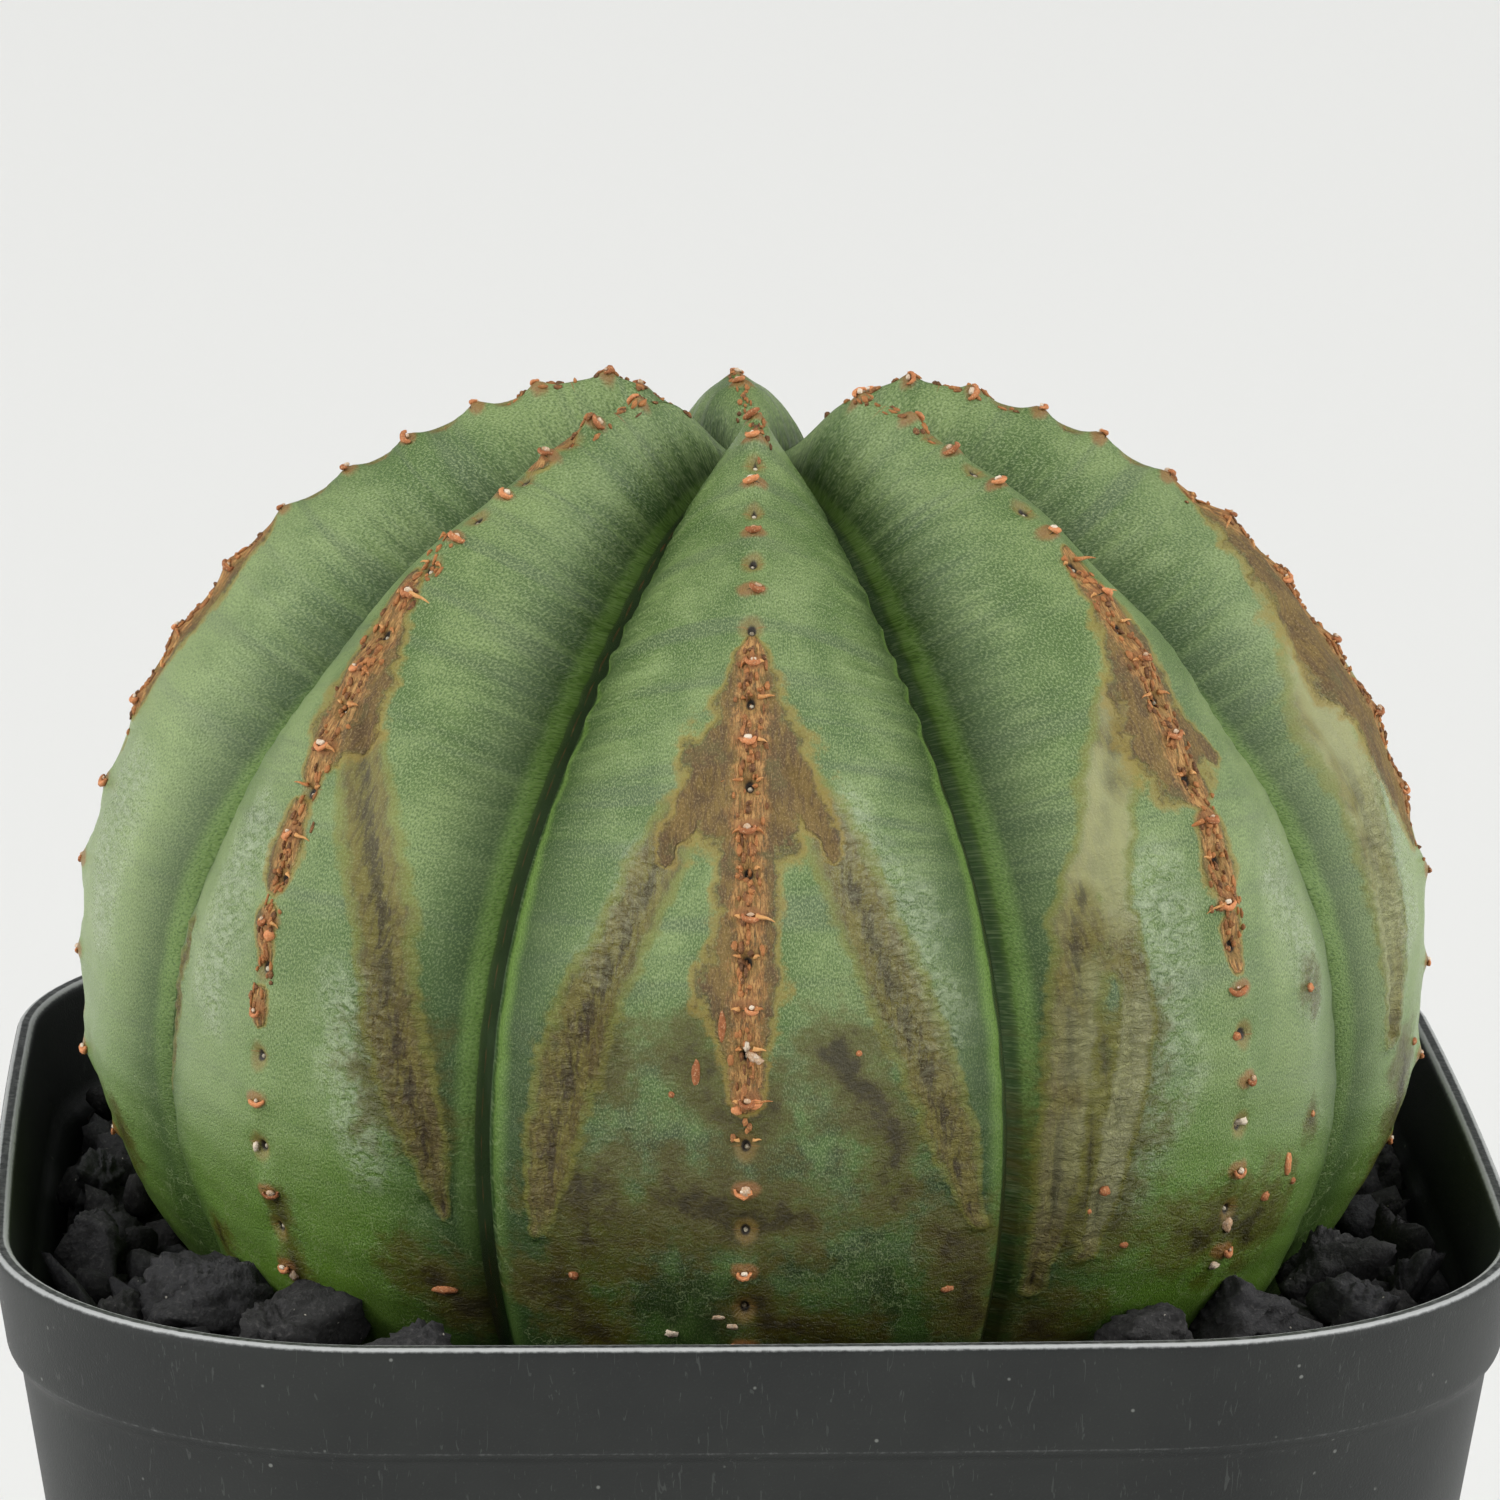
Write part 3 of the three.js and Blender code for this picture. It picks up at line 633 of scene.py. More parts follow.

# %% [markdown]
# ## The plant's skin
#
# The skin is grey-green and faintly felted: thousands of tiny pale bumps, longer than wide, over
# darker green. Dim bands cross the ribs, the edge of each crease is a fresher yellow-green, and the
# lower part is darker and greener, its dark patches on the front partly stain and partly painted shade.
# Towards each crease the green turns deeper, partly fresher skin and partly painted shade, and the
# outer sides are painted paler where the side lights fall. The patches stored above are laid over this
# one by one, each with a ragged edge, and wrinkled waxy places get a painted sheen and a glossier finish.

# %% Skin finish
def skin_finish():
    """Layers from the bottom up: felted green, bands, darker low parts partly painted shade, painted shade
    into the creases, crease edges, painted side light and sheen, stains, folds, cork, marks.
    """
    coat = Finish("euphorbia_skin")
    place = coat.stored("place", "Vector")
    y = coat.parts(place)[1]
    x = coat.parts(coat.place())[0]
    mark_x, to_scar, to_pit = coat.parts(coat.stored("marks", "Vector"))
    cork, folds, stains = coat.parts(coat.stored("patches", "Vector"))
    side = coat.stored("side")

    felt = coat.mottle(place, 11, 6, 2, 0.6)
    speck = coat.mottle(place, 16, 12, 2, 0.6)
    cloud = coat.mottle(place, 0.16, 0.10, 3, 0.55)
    patch = coat.mottle(place, 0.42, 0.34, 4, 0.6)
    band = coat.mottle(place, 0.05, 0.5, 2, 0.5, 0.4)
    pleat = coat.mottle(place, 0.14, 1, 2, 0.5, 0.3)
    ragged = coat.mottle(place, 0.62, 0.62, 5, 0.68)
    streak = coat.mottle(place, 3.2, 0.7, 3, 0.65, 0.6)
    fibre = coat.mottle(place, 6.5, 1.3, 3, 0.7, 0.8)
    wrinkle = coat.mottle(place, 1.5, 2.2, 4, 0.62, 1.2)
    uneven = ragged - 0.5

    spread = abs(x)
    low = y.step(54, 76)
    # Dark patches low on the front ribs: partly stain, partly painted shade where less light reaches.
    low_stain_and_shade = y.step(50, 64) * (patch * 0.6 + cloud * 0.4).step(0.40, 0.56)
    low_stain_and_shade = low_stain_and_shade * (0.8 - spread.step(14, 24) * 0.62)
    # Towards each crease the green darkens: partly the fresher skin's deeper green, partly painted shade of
    # the crease.
    fresh_and_groove_shade = side.step(0.50, 0.95)
    upper = side.step(0.30, 0.70) * (1 - y.step(36, 54))
    edge = side.step(0.87, 0.94) * (1 - side.step(0.965, 0.99))
    # Painted light: the outer sides, left and right of the middle, are lightened where the side lights fall.
    painted_side_light = spread.step(20, 44) * (1 - fresh_and_groove_shade * 0.7) * (1 - low * 0.85)
    pale = felt.step(0.48, 0.64) * (1 - fresh_and_groove_shade * 0.6) * (1 - low * 0.55)
    hairs = speck.step(0.66, 0.76) * (1 - fresh_and_groove_shade * 0.7) * (1 - low * 0.5)
    # Painted sheen: the stored sheen strokes lighten the colour as a highlight and also make the skin
    # glossier.
    gloss_and_painted_sheen = (coat.stored("sheen") + (patch - 0.5) * 2).step(-0.5, 0.8)
    low_green = coat.mix(rgb(46, 78, 10), rgb(96, 136, 28), spread.step(13, 25))
    green = coat.layers((80, 108, 50), [
        ((122, 144, 86), (cloud * 0.6 + patch * 0.4).step(0.38, 0.62)),
        ((82, 98, 70), band.step(0.50, 0.68) * 0.55),
        (low_green, low * (patch.step(0.36, 0.62) * 0.25 + 0.72)),
        # dark low patches: partly stain, partly painted shade
        ((20, 36, 5), low_stain_and_shade),
        # painted shade into each crease, over the fresher skin's deeper green
        ((30, 58, 6), fresh_and_groove_shade * 0.86),
        ((50, 78, 28), pleat.step(0.46, 0.62) * upper * 0.45),
        ((122, 146, 84), (1 - pleat.step(0.36, 0.46)) * upper * 0.25),
        ((116, 150, 66), edge * (1 - low * 0.7) * 0.62),
        # painted shade: a dark line along the bottom of each crease
        ((42, 74, 14), side.step(0.975, 0.995)),
        # painted light on the outer sides
        ((164, 182, 130), painted_side_light * 0.56),
        ((170, 184, 134), pale * 0.42),
        ((46, 70, 28), (1 - felt.step(0.34, 0.50)) * 0.50),
        ((212, 216, 196), hairs * 0.3),
        # painted sheen on wrinkled waxy places
        ((176, 188, 158), gloss_and_painted_sheen * wrinkle.step(0.34, 0.66) * 0.55),
        ((150, 166, 116), (1 - abs(patch - 0.53).step(0.0, 0.012)) * low * 0.45),
    ])

    stain = stains + uneven * 2.2 + (patch - 0.5) * 1.4
    fold = folds + uneven * 1.3
    fold_colour = coat.layers((118, 108, 48), [
        ((92, 78, 38), (streak * 0.6 + patch * 0.4).step(0.42, 0.60)),
        ((62, 46, 30), (folds + (streak - 0.5) * 0.8).step(0.58, 0.90) * 0.85),
        ((168, 160, 112), felt.step(0.52, 0.68) * 0.3),
        # painted highlight on the folds of the right-hand ribs
        ((166, 168, 120), x.step(13, 20) * cloud.step(0.36, 0.54) * 0.75),
        # painted sheen on the folds
        ((168, 166, 130), gloss_and_painted_sheen * wrinkle.step(0.38, 0.66) * 0.34),
    ])

    bark = cork + uneven * 1.5 + (patch - 0.5) * 0.8
    corky = bark.step(-0.12, 0.22)
    core = (abs(mark_x) + uneven * 3.4).step(0.60, 1.25)
    orange = (1 - core) * fibre.step(0.34, 0.52) * (ragged.step(0.36, 0.48) * 0.6 + 0.4)
    ochre = coat.mix(rgb(150, 96, 46), rgb(206, 158, 96), fibre.step(0.42, 0.62))
    cork_colour = coat.layers((128, 104, 52), [
        ((98, 76, 44), (streak * 0.45 + patch * 0.55).step(0.42, 0.58)),
        ((108, 106, 58), patch.step(0.56, 0.66) * 0.45),
        ((178, 156, 114), felt.step(0.52, 0.66) * 0.45),
        ((66, 52, 38), (1 - felt.step(0.32, 0.46)) * 0.45),
        (ochre, orange * 0.85),
    ])

    scar_far = (mark_x * mark_x * 0.7 + to_scar * to_scar * 1.5).root()
    pit_far = (mark_x * mark_x + to_pit * to_pit * 0.6).root()
    colour = coat.layers(green, [
        ((84, 74, 10), stain.step(-0.15, 0.60) * 0.66),
        ((58, 42, 10), (stain - 0.40).step(0.0, 0.8) * 0.65),
        ((30, 28, 16), (stain - 0.75).step(0.0, 0.5) * 0.5),
        ((126, 124, 48), (fold.step(-0.45, -0.12) - fold.step(0.02, 0.2)) * 0.55),
        (fold_colour, fold.step(-0.15, 0.32) * 0.9),
        ((146, 126, 54), (bark.step(-0.42, -0.12) - bark.step(0.0, 0.1)) * 0.7),
        (cork_colour, corky),
        ((146, 96, 54), (1 - (scar_far + uneven * 0.9).step(0.45, 0.85)) * 0.7),
        ((140, 112, 58), (1 - (pit_far + uneven * 0.8).step(0.4, 0.9)) * 0.55),
        # painted shade: a near-black dot in each pit
        ((34, 26, 14), 1 - (pit_far + uneven * 0.16).step(0.20, 0.36)),
    ])

    leathery = folds.step(-0.9, 0.3) * y.step(44, 56) + stains.step(-0.6, 0.4) * 0.4 + gloss_and_painted_sheen * 0.4
    normal = coat.bump(felt * 0.65 + speck * 0.35, 0.13, 0.9)
    normal = coat.bump(wrinkle * leathery, 0.5, 0.9, normal)
    normal = coat.bump(streak * corky + fibre * corky * 0.7, 0.22, 0.9, normal)
    rough = 0.30 + corky * 0.34 + felt.step(0.4, 0.7) * 0.08 + fresh_and_groove_shade * 0.2 - gloss_and_painted_sheen * 0.08
    return coat.surface(Base_Color=colour, Roughness=rough, Normal=normal, Specular_IOR_Level=0.42)


finish_piece(skin, skin_finish(), "skin", "euphorbia")

# %% [markdown]
# ## Scars, wings, beads and crumbs
#
# The marks stand up from the skin, so they are shapes of their own: a brown crescent with a pale heart
# at each leaf scar, a pale bead in each pit, thin dry wings beside the marks in the cork, and crumbs of
# cork along the crests. They are repeated hundreds of times, so each has only a few dozen faces.

# %% Setting small shapes on the skin
skin_normals = outward(skin_points)


def on_skin(k, across_at, run_at):
    """Position and frame (side, down, out) of places on rib k: the grid read between its lines."""
    row = np.interp(run_at, crest_run, np.arange(row_count))
    whole = row.astype(int)
    reach = np.interp(run_at, crest_run, outline[:, 0])
    turn = RIB_AZIMUTH[k] + np.degrees(across_at / np.maximum(reach, 1))
    turn = np.where(turn < azimuth[0], turn + 360, turn)
    column = np.interp(turn, np.append(azimuth, azimuth[0] + 360), np.arange(column_count + 1))
    left = column.astype(int) % column_count
    share_row, share_column = (row - whole)[:, None], (column - column.astype(int))[:, None]

    def read(grid):
        right = (left + 1) % column_count
        upper, lower = (grid[row, left] * (1 - share_column) + grid[row, right] * share_column
                        for row in (whole, whole + 1))
        return upper * (1 - share_row) + lower * share_row

    out = read(skin_normals)
    out /= np.linalg.norm(out, axis=-1, keepdims=True)
    angle = np.radians(turn)
    side = np.stack([np.cos(angle), np.sin(angle), 0 * angle], -1)
    side -= out * (side * out).sum(-1, keepdims=True)
    side /= np.linalg.norm(side, axis=-1, keepdims=True)
    down = np.cross(out, side)
    down *= -np.sign(down[:, 2:3] + 1e-9)
    return read(skin_points), side, down, out


def set_on(places, shapes):
    """Turn local shapes (side, down, out) into positions; one shape per place."""
    origin, side, down, out = places
    return (origin[:, None] + shapes[..., 0:1] * side[:, None] + shapes[..., 1:2] * down[:, None]
            + shapes[..., 2:3] * out[:, None])


def tubes(lines, radii, sides):
    """Closed tubes round lines of points: circle of the radius, square to the line, in the plane
    that holds the outward direction."""
    along = np.gradient(lines, axis=1)
    along /= np.linalg.norm(along, axis=-1, keepdims=True)
    out = np.broadcast_to([0.0, 0.0, 1.0], lines.shape)
    beside = np.cross(along, out)
    beside /= np.maximum(np.linalg.norm(beside, axis=-1, keepdims=True), 1e-6)
    lift = np.cross(beside, along)
    angle = 2 * np.pi * np.arange(sides) / sides
    ring = np.cos(angle)[:, None] * beside[:, :, None] + np.sin(angle)[:, None] * lift[:, :, None]
    return lines[:, :, None] + ring * radii[..., None, None]


def dress(name, places, shapes, quads, caps, material):
    """Set small shapes on the skin as one finished piece, with a chance tone for each."""
    tones = np.random.default_rng(len(shapes)).uniform(0, 1, len(shapes))
    finish_piece(gather(name, set_on(places, shapes), quads, caps, tones), material, "skin")


def with_tips(grid, lines):
    """Tube points followed by the two end points of each line."""
    count = len(grid)
    return np.concatenate([grid.reshape(count, -1, 3), lines[:, :1], lines[:, -1:]], 1)


# %% Finishes of the small shapes
def dry_finish(name, dark, light, heart, roughness=0.7):
    """Dry tissue: two tones by shape, mottled by noise."""
    coat = Finish(name)
    spot = coat.place()
    mottle = coat.noise(spot, 2.6, 4.0, 0.65)
    fine = coat.noise(spot, 9.0, 3.0, 0.6)
    tone = coat.stored("tone")
    colour = coat.layers(dark, [(light, (tone * 0.5 + mottle * 0.8).step(0.35, 0.9)),
                                (heart, fine.step(0.54, 0.68) * 0.5)])
    return coat.surface(Base_Color=colour, Roughness=roughness + fine * 0.1,
                        Normal=coat.bump(fine, 0.08, 0.7), Specular_IOR_Level=0.4)


scar_brown = dry_finish("scar_brown", (142, 84, 46), (212, 138, 88), (232, 194, 150))
pith_cream = dry_finish("pith_cream", (184, 148, 112), (226, 210, 186), (246, 240, 228), 0.5)
bead_pale = dry_finish("bead_pale", (120, 104, 76), (206, 196, 172), (235, 230, 215), 0.5)
wing_ochre = dry_finish("wing_ochre", (168, 104, 54), (214, 158, 96), (232, 196, 146))
crumb_brown = dry_finish("crumb_brown", (96, 64, 38), (176, 116, 66), (206, 160, 108))

# %% Crescents and hearts of the leaf scars
chance = np.random.default_rng(17)
ABOVE_GRAVEL = 78.0              # distance from the crown where the gravel hides the skin
scar_at = [(k, s * (2 if k else 1), r)
           for k in range(8) for s, r in zip(SWAY[k], SCARS[k]) if r < ABOVE_GRAVEL]
pit_at = [(k, 0.3 * s, r) for k in range(8) for s, r in zip(SWAY[k], PITS[k]) if r < ABOVE_GRAVEL]


def places_of(marks):
    """Frames for a list of (rib, across, run), in the order of the list."""
    marks = np.asarray(marks, float)
    parts = [np.zeros((len(marks), 3)) for _ in range(4)]
    for k in range(8):
        mine = marks[:, 0] == k
        if mine.any():
            for part, value in zip(parts, on_skin(k, marks[mine, 1], marks[mine, 2])):
                part[mine] = value
    return parts


def crescents(marks):
    """Half rings, open towards the crown: (a cos t, b sin t), thickest in the middle."""
    count = len(marks)
    t = np.radians(np.linspace(-12, 192, 9))[None, :]
    a = chance.uniform(0.34, 0.50, (count, 1))
    b = chance.uniform(0.22, 0.34, (count, 1))
    wobble = chance.normal(0, 0.035, (count, 9))
    lines = np.stack([a * np.cos(t) + wobble, b * np.sin(t) + wobble, 0.02 + 0.09 * np.sin(t) + 0 * a], -1)
    radii = (0.08 + 0.09 * np.sin(np.clip(t, 0.05, 3.09))) * chance.uniform(0.8, 1.25, (count, 1))
    return lines, radii


lines, radii = crescents(scar_at)
quads, ends = closed_faces(9, 7)
scar_places = places_of(scar_at)
dress("leaf_scars", scar_places, with_tips(tubes(lines, radii, 7), lines), quads, ends, scar_brown)

directions, quads, caps = ball(5, 8)
size = np.stack([chance.uniform(0.22, 0.36, len(scar_at)), chance.uniform(0.16, 0.26, len(scar_at)),
                 chance.uniform(0.14, 0.24, len(scar_at))], -1)
size *= chance.uniform(0.45, 1.0, (len(scar_at), 1))
lumpy = 1 + 0.15 * np.sin(5 * directions[:, :1] + np.arange(len(scar_at))[:, None, None])
heart = directions * size[:, None] * lumpy + np.array([0, -0.02, 0.10])
dress("scar_hearts", scar_places, heart, quads, caps, pith_cream)

size = np.stack([chance.uniform(0.13, 0.19, len(pit_at))] * 3, -1)
bead = directions[None] * size[:, None] + np.array([0, 0.10, 0.02])
dress("pit_beads", places_of(pit_at), bead, quads, caps, bead_pale)

# %% Wings beside the marks in the cork
WINGED = {0: (33, 62), 7: (27, 54), 1: (28, 52), 2: (28, 50), 3: (32, 52), 5: (30, 50), 6: (34, 46)}
wing_marks = [(k, 0.25 * way, r + 0.05) for k, (start, stop) in WINGED.items()
              for r in np.concatenate([SCARS[k], PITS[k] - 0.5]) if start < r < stop for way in (-1, 1)]
way = np.array([np.sign(m[1]) for m in wing_marks])[:, None]
count = len(wing_marks)
t = np.linspace(0, 1, 6)[None, :]
reach = chance.uniform(0.35, 1.45, (count, 1)) * chance.choice([1.0, 0.4, 0.4], (count, 1))
droop = chance.uniform(-0.10, 0.35, (count, 1))
lines = np.stack([way * (0.15 + reach * t), droop * t**1.5 + 0.03 * np.sin(7 * t),
                  0.13 - 0.09 * t - 0.012 * (reach * t) ** 2], -1)
radii = (0.13 * (1 - t) ** 0.8 + 0.02) * chance.uniform(0.7, 1.1, (count, 1))
quads, ends = closed_faces(6, 6)
dress("cork_wings", places_of(wing_marks), with_tips(tubes(lines, radii, 6), lines), quads, ends, wing_ochre)

# %% Crumbs of cork
# rib: from, to, how many, sideways spread
CRUMBLY = {0: (32.5, 62, 150, 0.65), 7: (27.5, 58, 150, 0.8), 1: (28.5, 54, 150, 0.8), 2: (27, 56, 130, 0.9),
           6: (33, 48, 70, 0.7), 3: (30, 56, 120, 0.9), 4: (35, 58, 110, 0.8), 5: (29, 55, 120, 0.9)}
CROWN_CRUMBS = 26
crumb_at = []
for k, (start, stop, count, spread) in CRUMBLY.items():
    crumb_at += list(zip([k] * count, chance.normal(0, spread * 0.6, count),
                         chance.uniform(start, stop, count)))
for k in range(8):                       # young marks crowd together at the crown
    crumb_at += list(zip([k] * CROWN_CRUMBS, chance.normal(0, 0.35, CROWN_CRUMBS),
                         chance.uniform(6.5, 17.0, CROWN_CRUMBS)))
directions, quads, caps = ball(4, 6)
count = len(crumb_at)
size = np.stack([chance.uniform(*span, count) for span in ((0.07, 0.20), (0.12, 0.42), (0.06, 0.17))], -1)
crumb = directions * size[:, None] * (1 + 0.3 * chance.uniform(-1, 1, (count, len(directions), 1)))
dress("cork_crumbs", places_of(crumb_at), crumb + np.array([0, 0, 0.03]), quads, caps, crumb_brown)

# %% Odd scars low on the ribs
# rib, across, run, half width, half length, height
ODD_SCARS = [
    (0, -1.4, 55.6, 0.22, 0.95, 0.14), (0, -2.9, 58.3, 0.24, 0.8, 0.15), (0, -4.3, 59.6, 0.18, 0.2, 0.15),
    (0, 6.5, 57.2, 0.2, 0.17, 0.14), (0, -10.2, 71.3, 0.3, 0.28, 0.2), (0, 12.1, 72.2, 0.4, 0.22, 0.2),
    (0, 0.5, 59.9, 0.42, 0.3, 0.24), (0, -0.5, 60.3, 0.34, 0.26, 0.2), (0, -0.2, 70.4, 0.3, 0.24, 0.2),
    (7, 10.8, 73.7, 0.75, 0.26, 0.24), (7, -0.5, 47.9, 0.36, 0.3, 0.3), (7, 0.3, 53.6, 0.34, 0.34, 0.3),
    (1, -9, 67, 0.34, 0.3, 0.22), (1, -9.8, 68.2, 0.16, 0.16, 0.12), (1, -7.2, 70.7, 0.26, 0.2, 0.16),
    (1, 7.3, 57.6, 0.3, 0.3, 0.22), (1, 8.3, 65.5, 0.2, 0.2, 0.14), (1, 5.2, 67.9, 0.3, 0.75, 0.2),
    (1, 3.2, 69.5, 0.4, 0.3, 0.2), (1, 6.2, 69.2, 0.24, 0.24, 0.16), (1, -0.6, 58.9, 0.3, 0.26, 0.3),
    (2, -4, 66, 0.3, 0.24, 0.2), (3, 3, 60, 0.4, 0.26, 0.2), (4, -5, 64, 0.3, 0.5, 0.2),
    (5, 4, 66, 0.3, 0.3, 0.2),
]
WHITE_CRUSTS = [
    (0, 0.35, 57.3, 0.42, 0.34, 0.26), (0, 0, 56.7, 0.2, 0.34, 0.2), (0, 0.7, 57.5, 0.24, 0.2, 0.22),
    (0, 0, 64.9, 0.3, 0.26, 0.22), (0, -0.7, 74, 0.3, 0.2, 0.1), (0, -1.5, 73.4, 0.42, 0.16, 0.08),
    (0, -4.2, 74.8, 0.4, 0.25, 0.12), (7, 0.4, 74.6, 0.3, 0.42, 0.26), (7, -0.5, 66.3, 0.2, 0.3, 0.2),
    (1, 0.3, 64.2, 0.4, 0.3, 0.2), (1, 0, 70.6, 0.34, 0.42, 0.24), (1, -0.3, 73.2, 0.34, 0.28, 0.22),
]


def knobs(name, marks, rough, material):
    """Low mounds: a ball stretched to each mark's half sizes and roughened point by point."""
    marks = np.asarray(marks, float)
    directions, quads, caps = ball(7, 12)
    lumps = 1 + rough * chance.uniform(-1, 1, (len(marks), len(directions), 1))
    dress(name, places_of(marks[:, :3]), directions * marks[:, None, 3:6] * lumps, quads, caps, material)


knobs("odd_scars", ODD_SCARS, 0.16, scar_brown)
knobs("white_crusts", WHITE_CRUSTS, 0.3, pith_cream)

# %% [markdown]
# ## The pot
#
# A thin-walled square nursery pot, injection moulded in dark plastic: sides that lean in towards the
# foot, generous round corners, and a stiffening band under the lip that steps out by half a
# millimetre. One outline, a square with round corners, is swept through a profile that runs up the
# outside, over the lip and down the inside, so the wall is a closed solid of even thickness.

# %% Pot shape
POT_HEIGHT = 82.0
POT_HALF_TOP = 44.5
POT_HALF_BOTTOM = 31.8
POT_CORNER_TOP = 22.4
POT_CORNER_BOTTOM = 16.0
BAND_STEP = 0.6
WALL = 1.2
FLOOR_THICK = 1.6
LIP_ROUND = 0.42
SIDE_BOW = 0.25
DRAIN_OFFSET = 15.0
DRAIN_RADIUS = 3.5
SIDE_COLUMNS = 30
CORNER_COLUMNS = 26


def square_columns():
    """Once round a square with round corners: for each column the corner's centre (in units of its
    distance from the middle), the outward direction, and the place along a side (-1 to 1, or 1 on
    the corners)."""
    turn = np.linspace(-45, 45, CORNER_COLUMNS, endpoint=False) + 45
    along = np.linspace(-1, 1, SIDE_COLUMNS, endpoint=False)
    centres, directions, sides = [], [], []
    for quarter in range(4):
        start = math.radians(90 * quarter)
        spin = np.array([[math.cos(start), math.sin(start)], [-math.sin(start), math.cos(start)]])
        side_centres = np.stack([np.ones(SIDE_COLUMNS), along], -1) @ spin
        corner_centres = np.ones((CORNER_COLUMNS, 2)) @ spin
        angle = np.radians(turn)
        centres += [side_centres, corner_centres]
        directions += [np.tile([[1.0, 0.0]], (SIDE_COLUMNS, 1)) @ spin,
                       np.stack([np.cos(angle), np.sin(angle)], -1) @ spin]
        sides += [along, np.ones(CORNER_COLUMNS)]
    return np.vstack(centres), np.vstack(directions), np.concatenate(sides)


def pot_half(z):
    """Half width of the plain wall: it shrinks evenly from the top to the foot."""
    taper = (POT_HALF_TOP - BAND_STEP - POT_HALF_BOTTOM) / (POT_HEIGHT - 0.9)
    return POT_HALF_TOP - BAND_STEP - taper * (POT_HEIGHT - z)


def pot_corner(z):
    return POT_CORNER_BOTTOM + (POT_CORNER_TOP - POT_CORNER_BOTTOM) * z / POT_HEIGHT


def square_surface(profile):
    """Positions for each (outset, height) of the profile: corner centre * (half - corner radius)
    + outward direction * (corner radius + outset + bow * (1 - place along the side squared))."""
    centres, directions, sides = square_columns()
    outset, z = (c[:, None, None] for c in np.asarray(profile, float).T)
    half, corner = pot_half(z), pot_corner(z)
    bow = SIDE_BOW * (1 - sides ** 2)[None, :, None] * (z > 2)
    flat = centres * (half - corner) + directions * (corner + outset + bow)
    return np.concatenate([flat, np.broadcast_to(z, flat.shape[:2] + (1,))], -1)


def arc(centre, radius, start, end, steps):
    """Points on part of a circle in the profile, angles in degrees from outward."""
    angle = np.radians(np.linspace(start, end, steps))
    return [(centre[0] + radius * math.cos(a), centre[1] + radius * math.sin(a)) for a in angle]


lip_out = BAND_STEP - LIP_ROUND
lip_in = BAND_STEP - WALL + LIP_ROUND
lip_z = POT_HEIGHT - LIP_ROUND
pot_profile = (
    [(-6.0, 0.0), (-1.6, 0.0)] + arc((-0.9, 0.9), 0.9, -75, 0, 5)
    + [(0.0, z) for z in (1.6, 4, 12, 24, 36, 48, 58, 66, 71, 73, 74, 74.35)]
    + [(0.03, 74.6), (0.12, 74.85), (0.30, 75.1), (0.47, 75.3), (0.56, 75.55), (0.6, 75.9)]
    + [(0.6, z) for z in (76.6, 78.0, 79.6, 80.8, 81.3)]
    + arc((lip_out, lip_z), LIP_ROUND, 0, 90, 6)[1:] + arc((lip_in, lip_z), LIP_ROUND, 90, 180, 6)
    + [(BAND_STEP - WALL, z) for z in (81.2, 80, 78, 76, 75.4)]
    + [(-WALL + 0.3, 74.9), (-WALL, 74.4)]
    + [(-WALL, z) for z in (73, 70, 60, 40, 20, 6, 3)] + arc((-WALL - 0.9, 2.5), -0.9, 0, 90, 4)[1:]
    + [(-6.0, FLOOR_THICK)]
)
pot_grid = square_surface(pot_profile)
pot_rows, pot_columns = pot_grid.shape[:2]
pot_points = np.vstack([pot_grid.reshape(-1, 3), [[0, 0, 0], [0, 0, FLOOR_THICK]]])
pot = make_piece("nursery_pot", pot_points, *(f[:, ::-1] for f in closed_faces(pot_rows, pot_columns)))
outset, z = np.asarray(pot_profile).T
# The lip's two edges are paler, partly scuffing and partly a painted highlight; the top of the band's step
# gets a painted highlight.
lip_wear_and_highlight = bell(np.abs(outset - (lip_out + lip_in) / 2) - 0.36, 0.2) * (z > 81.4)
band_highlight = bell(z - 75.5, 0.25) * (outset > 0.2)
wear_and_highlight = np.repeat(np.maximum(lip_wear_and_highlight, 0.45 * band_highlight), pot_columns)
store(pot, "wear_and_highlight", np.concatenate([wear_and_highlight, [0, 0]]))


# %% Drainage holes
def drill(piece, x, y, radius, depth):
    """Cut a round hole through the floor of the piece and keep the result as its mesh."""
    angle = np.radians(np.arange(0, 360, 9))
    ring = np.stack([x + radius * np.cos(angle), y + radius * np.sin(angle)], -1)
    count = len(ring)
    ends = np.vstack([np.column_stack([ring, np.full(count, z)]) for z in (-depth, depth)])
    sides = closed_faces(2, count)[0][:, ::-1]
    lids = np.stack([np.arange(count)[::-1], np.arange(count, 2 * count)])
    bit = make_piece("bit", ends, sides, lids)
    cut = piece.modifiers.new("cut", "BOOLEAN")
    cut.object = bit
    cut.operation = "DIFFERENCE"
    cut.solver = "EXACT"
    bpy.context.view_layer.update()
    carved = piece.evaluated_get(bpy.context.evaluated_depsgraph_get())
    shape = bpy.data.meshes.new_from_object(carved)
    piece.modifiers.clear()
    piece.data = shape
    bpy.data.objects.remove(bit)


for side_x in (-1, 1):
    for side_y in (-1, 1):
        drill(pot, side_x * DRAIN_OFFSET, side_y * DRAIN_OFFSET, DRAIN_RADIUS, 4.0)


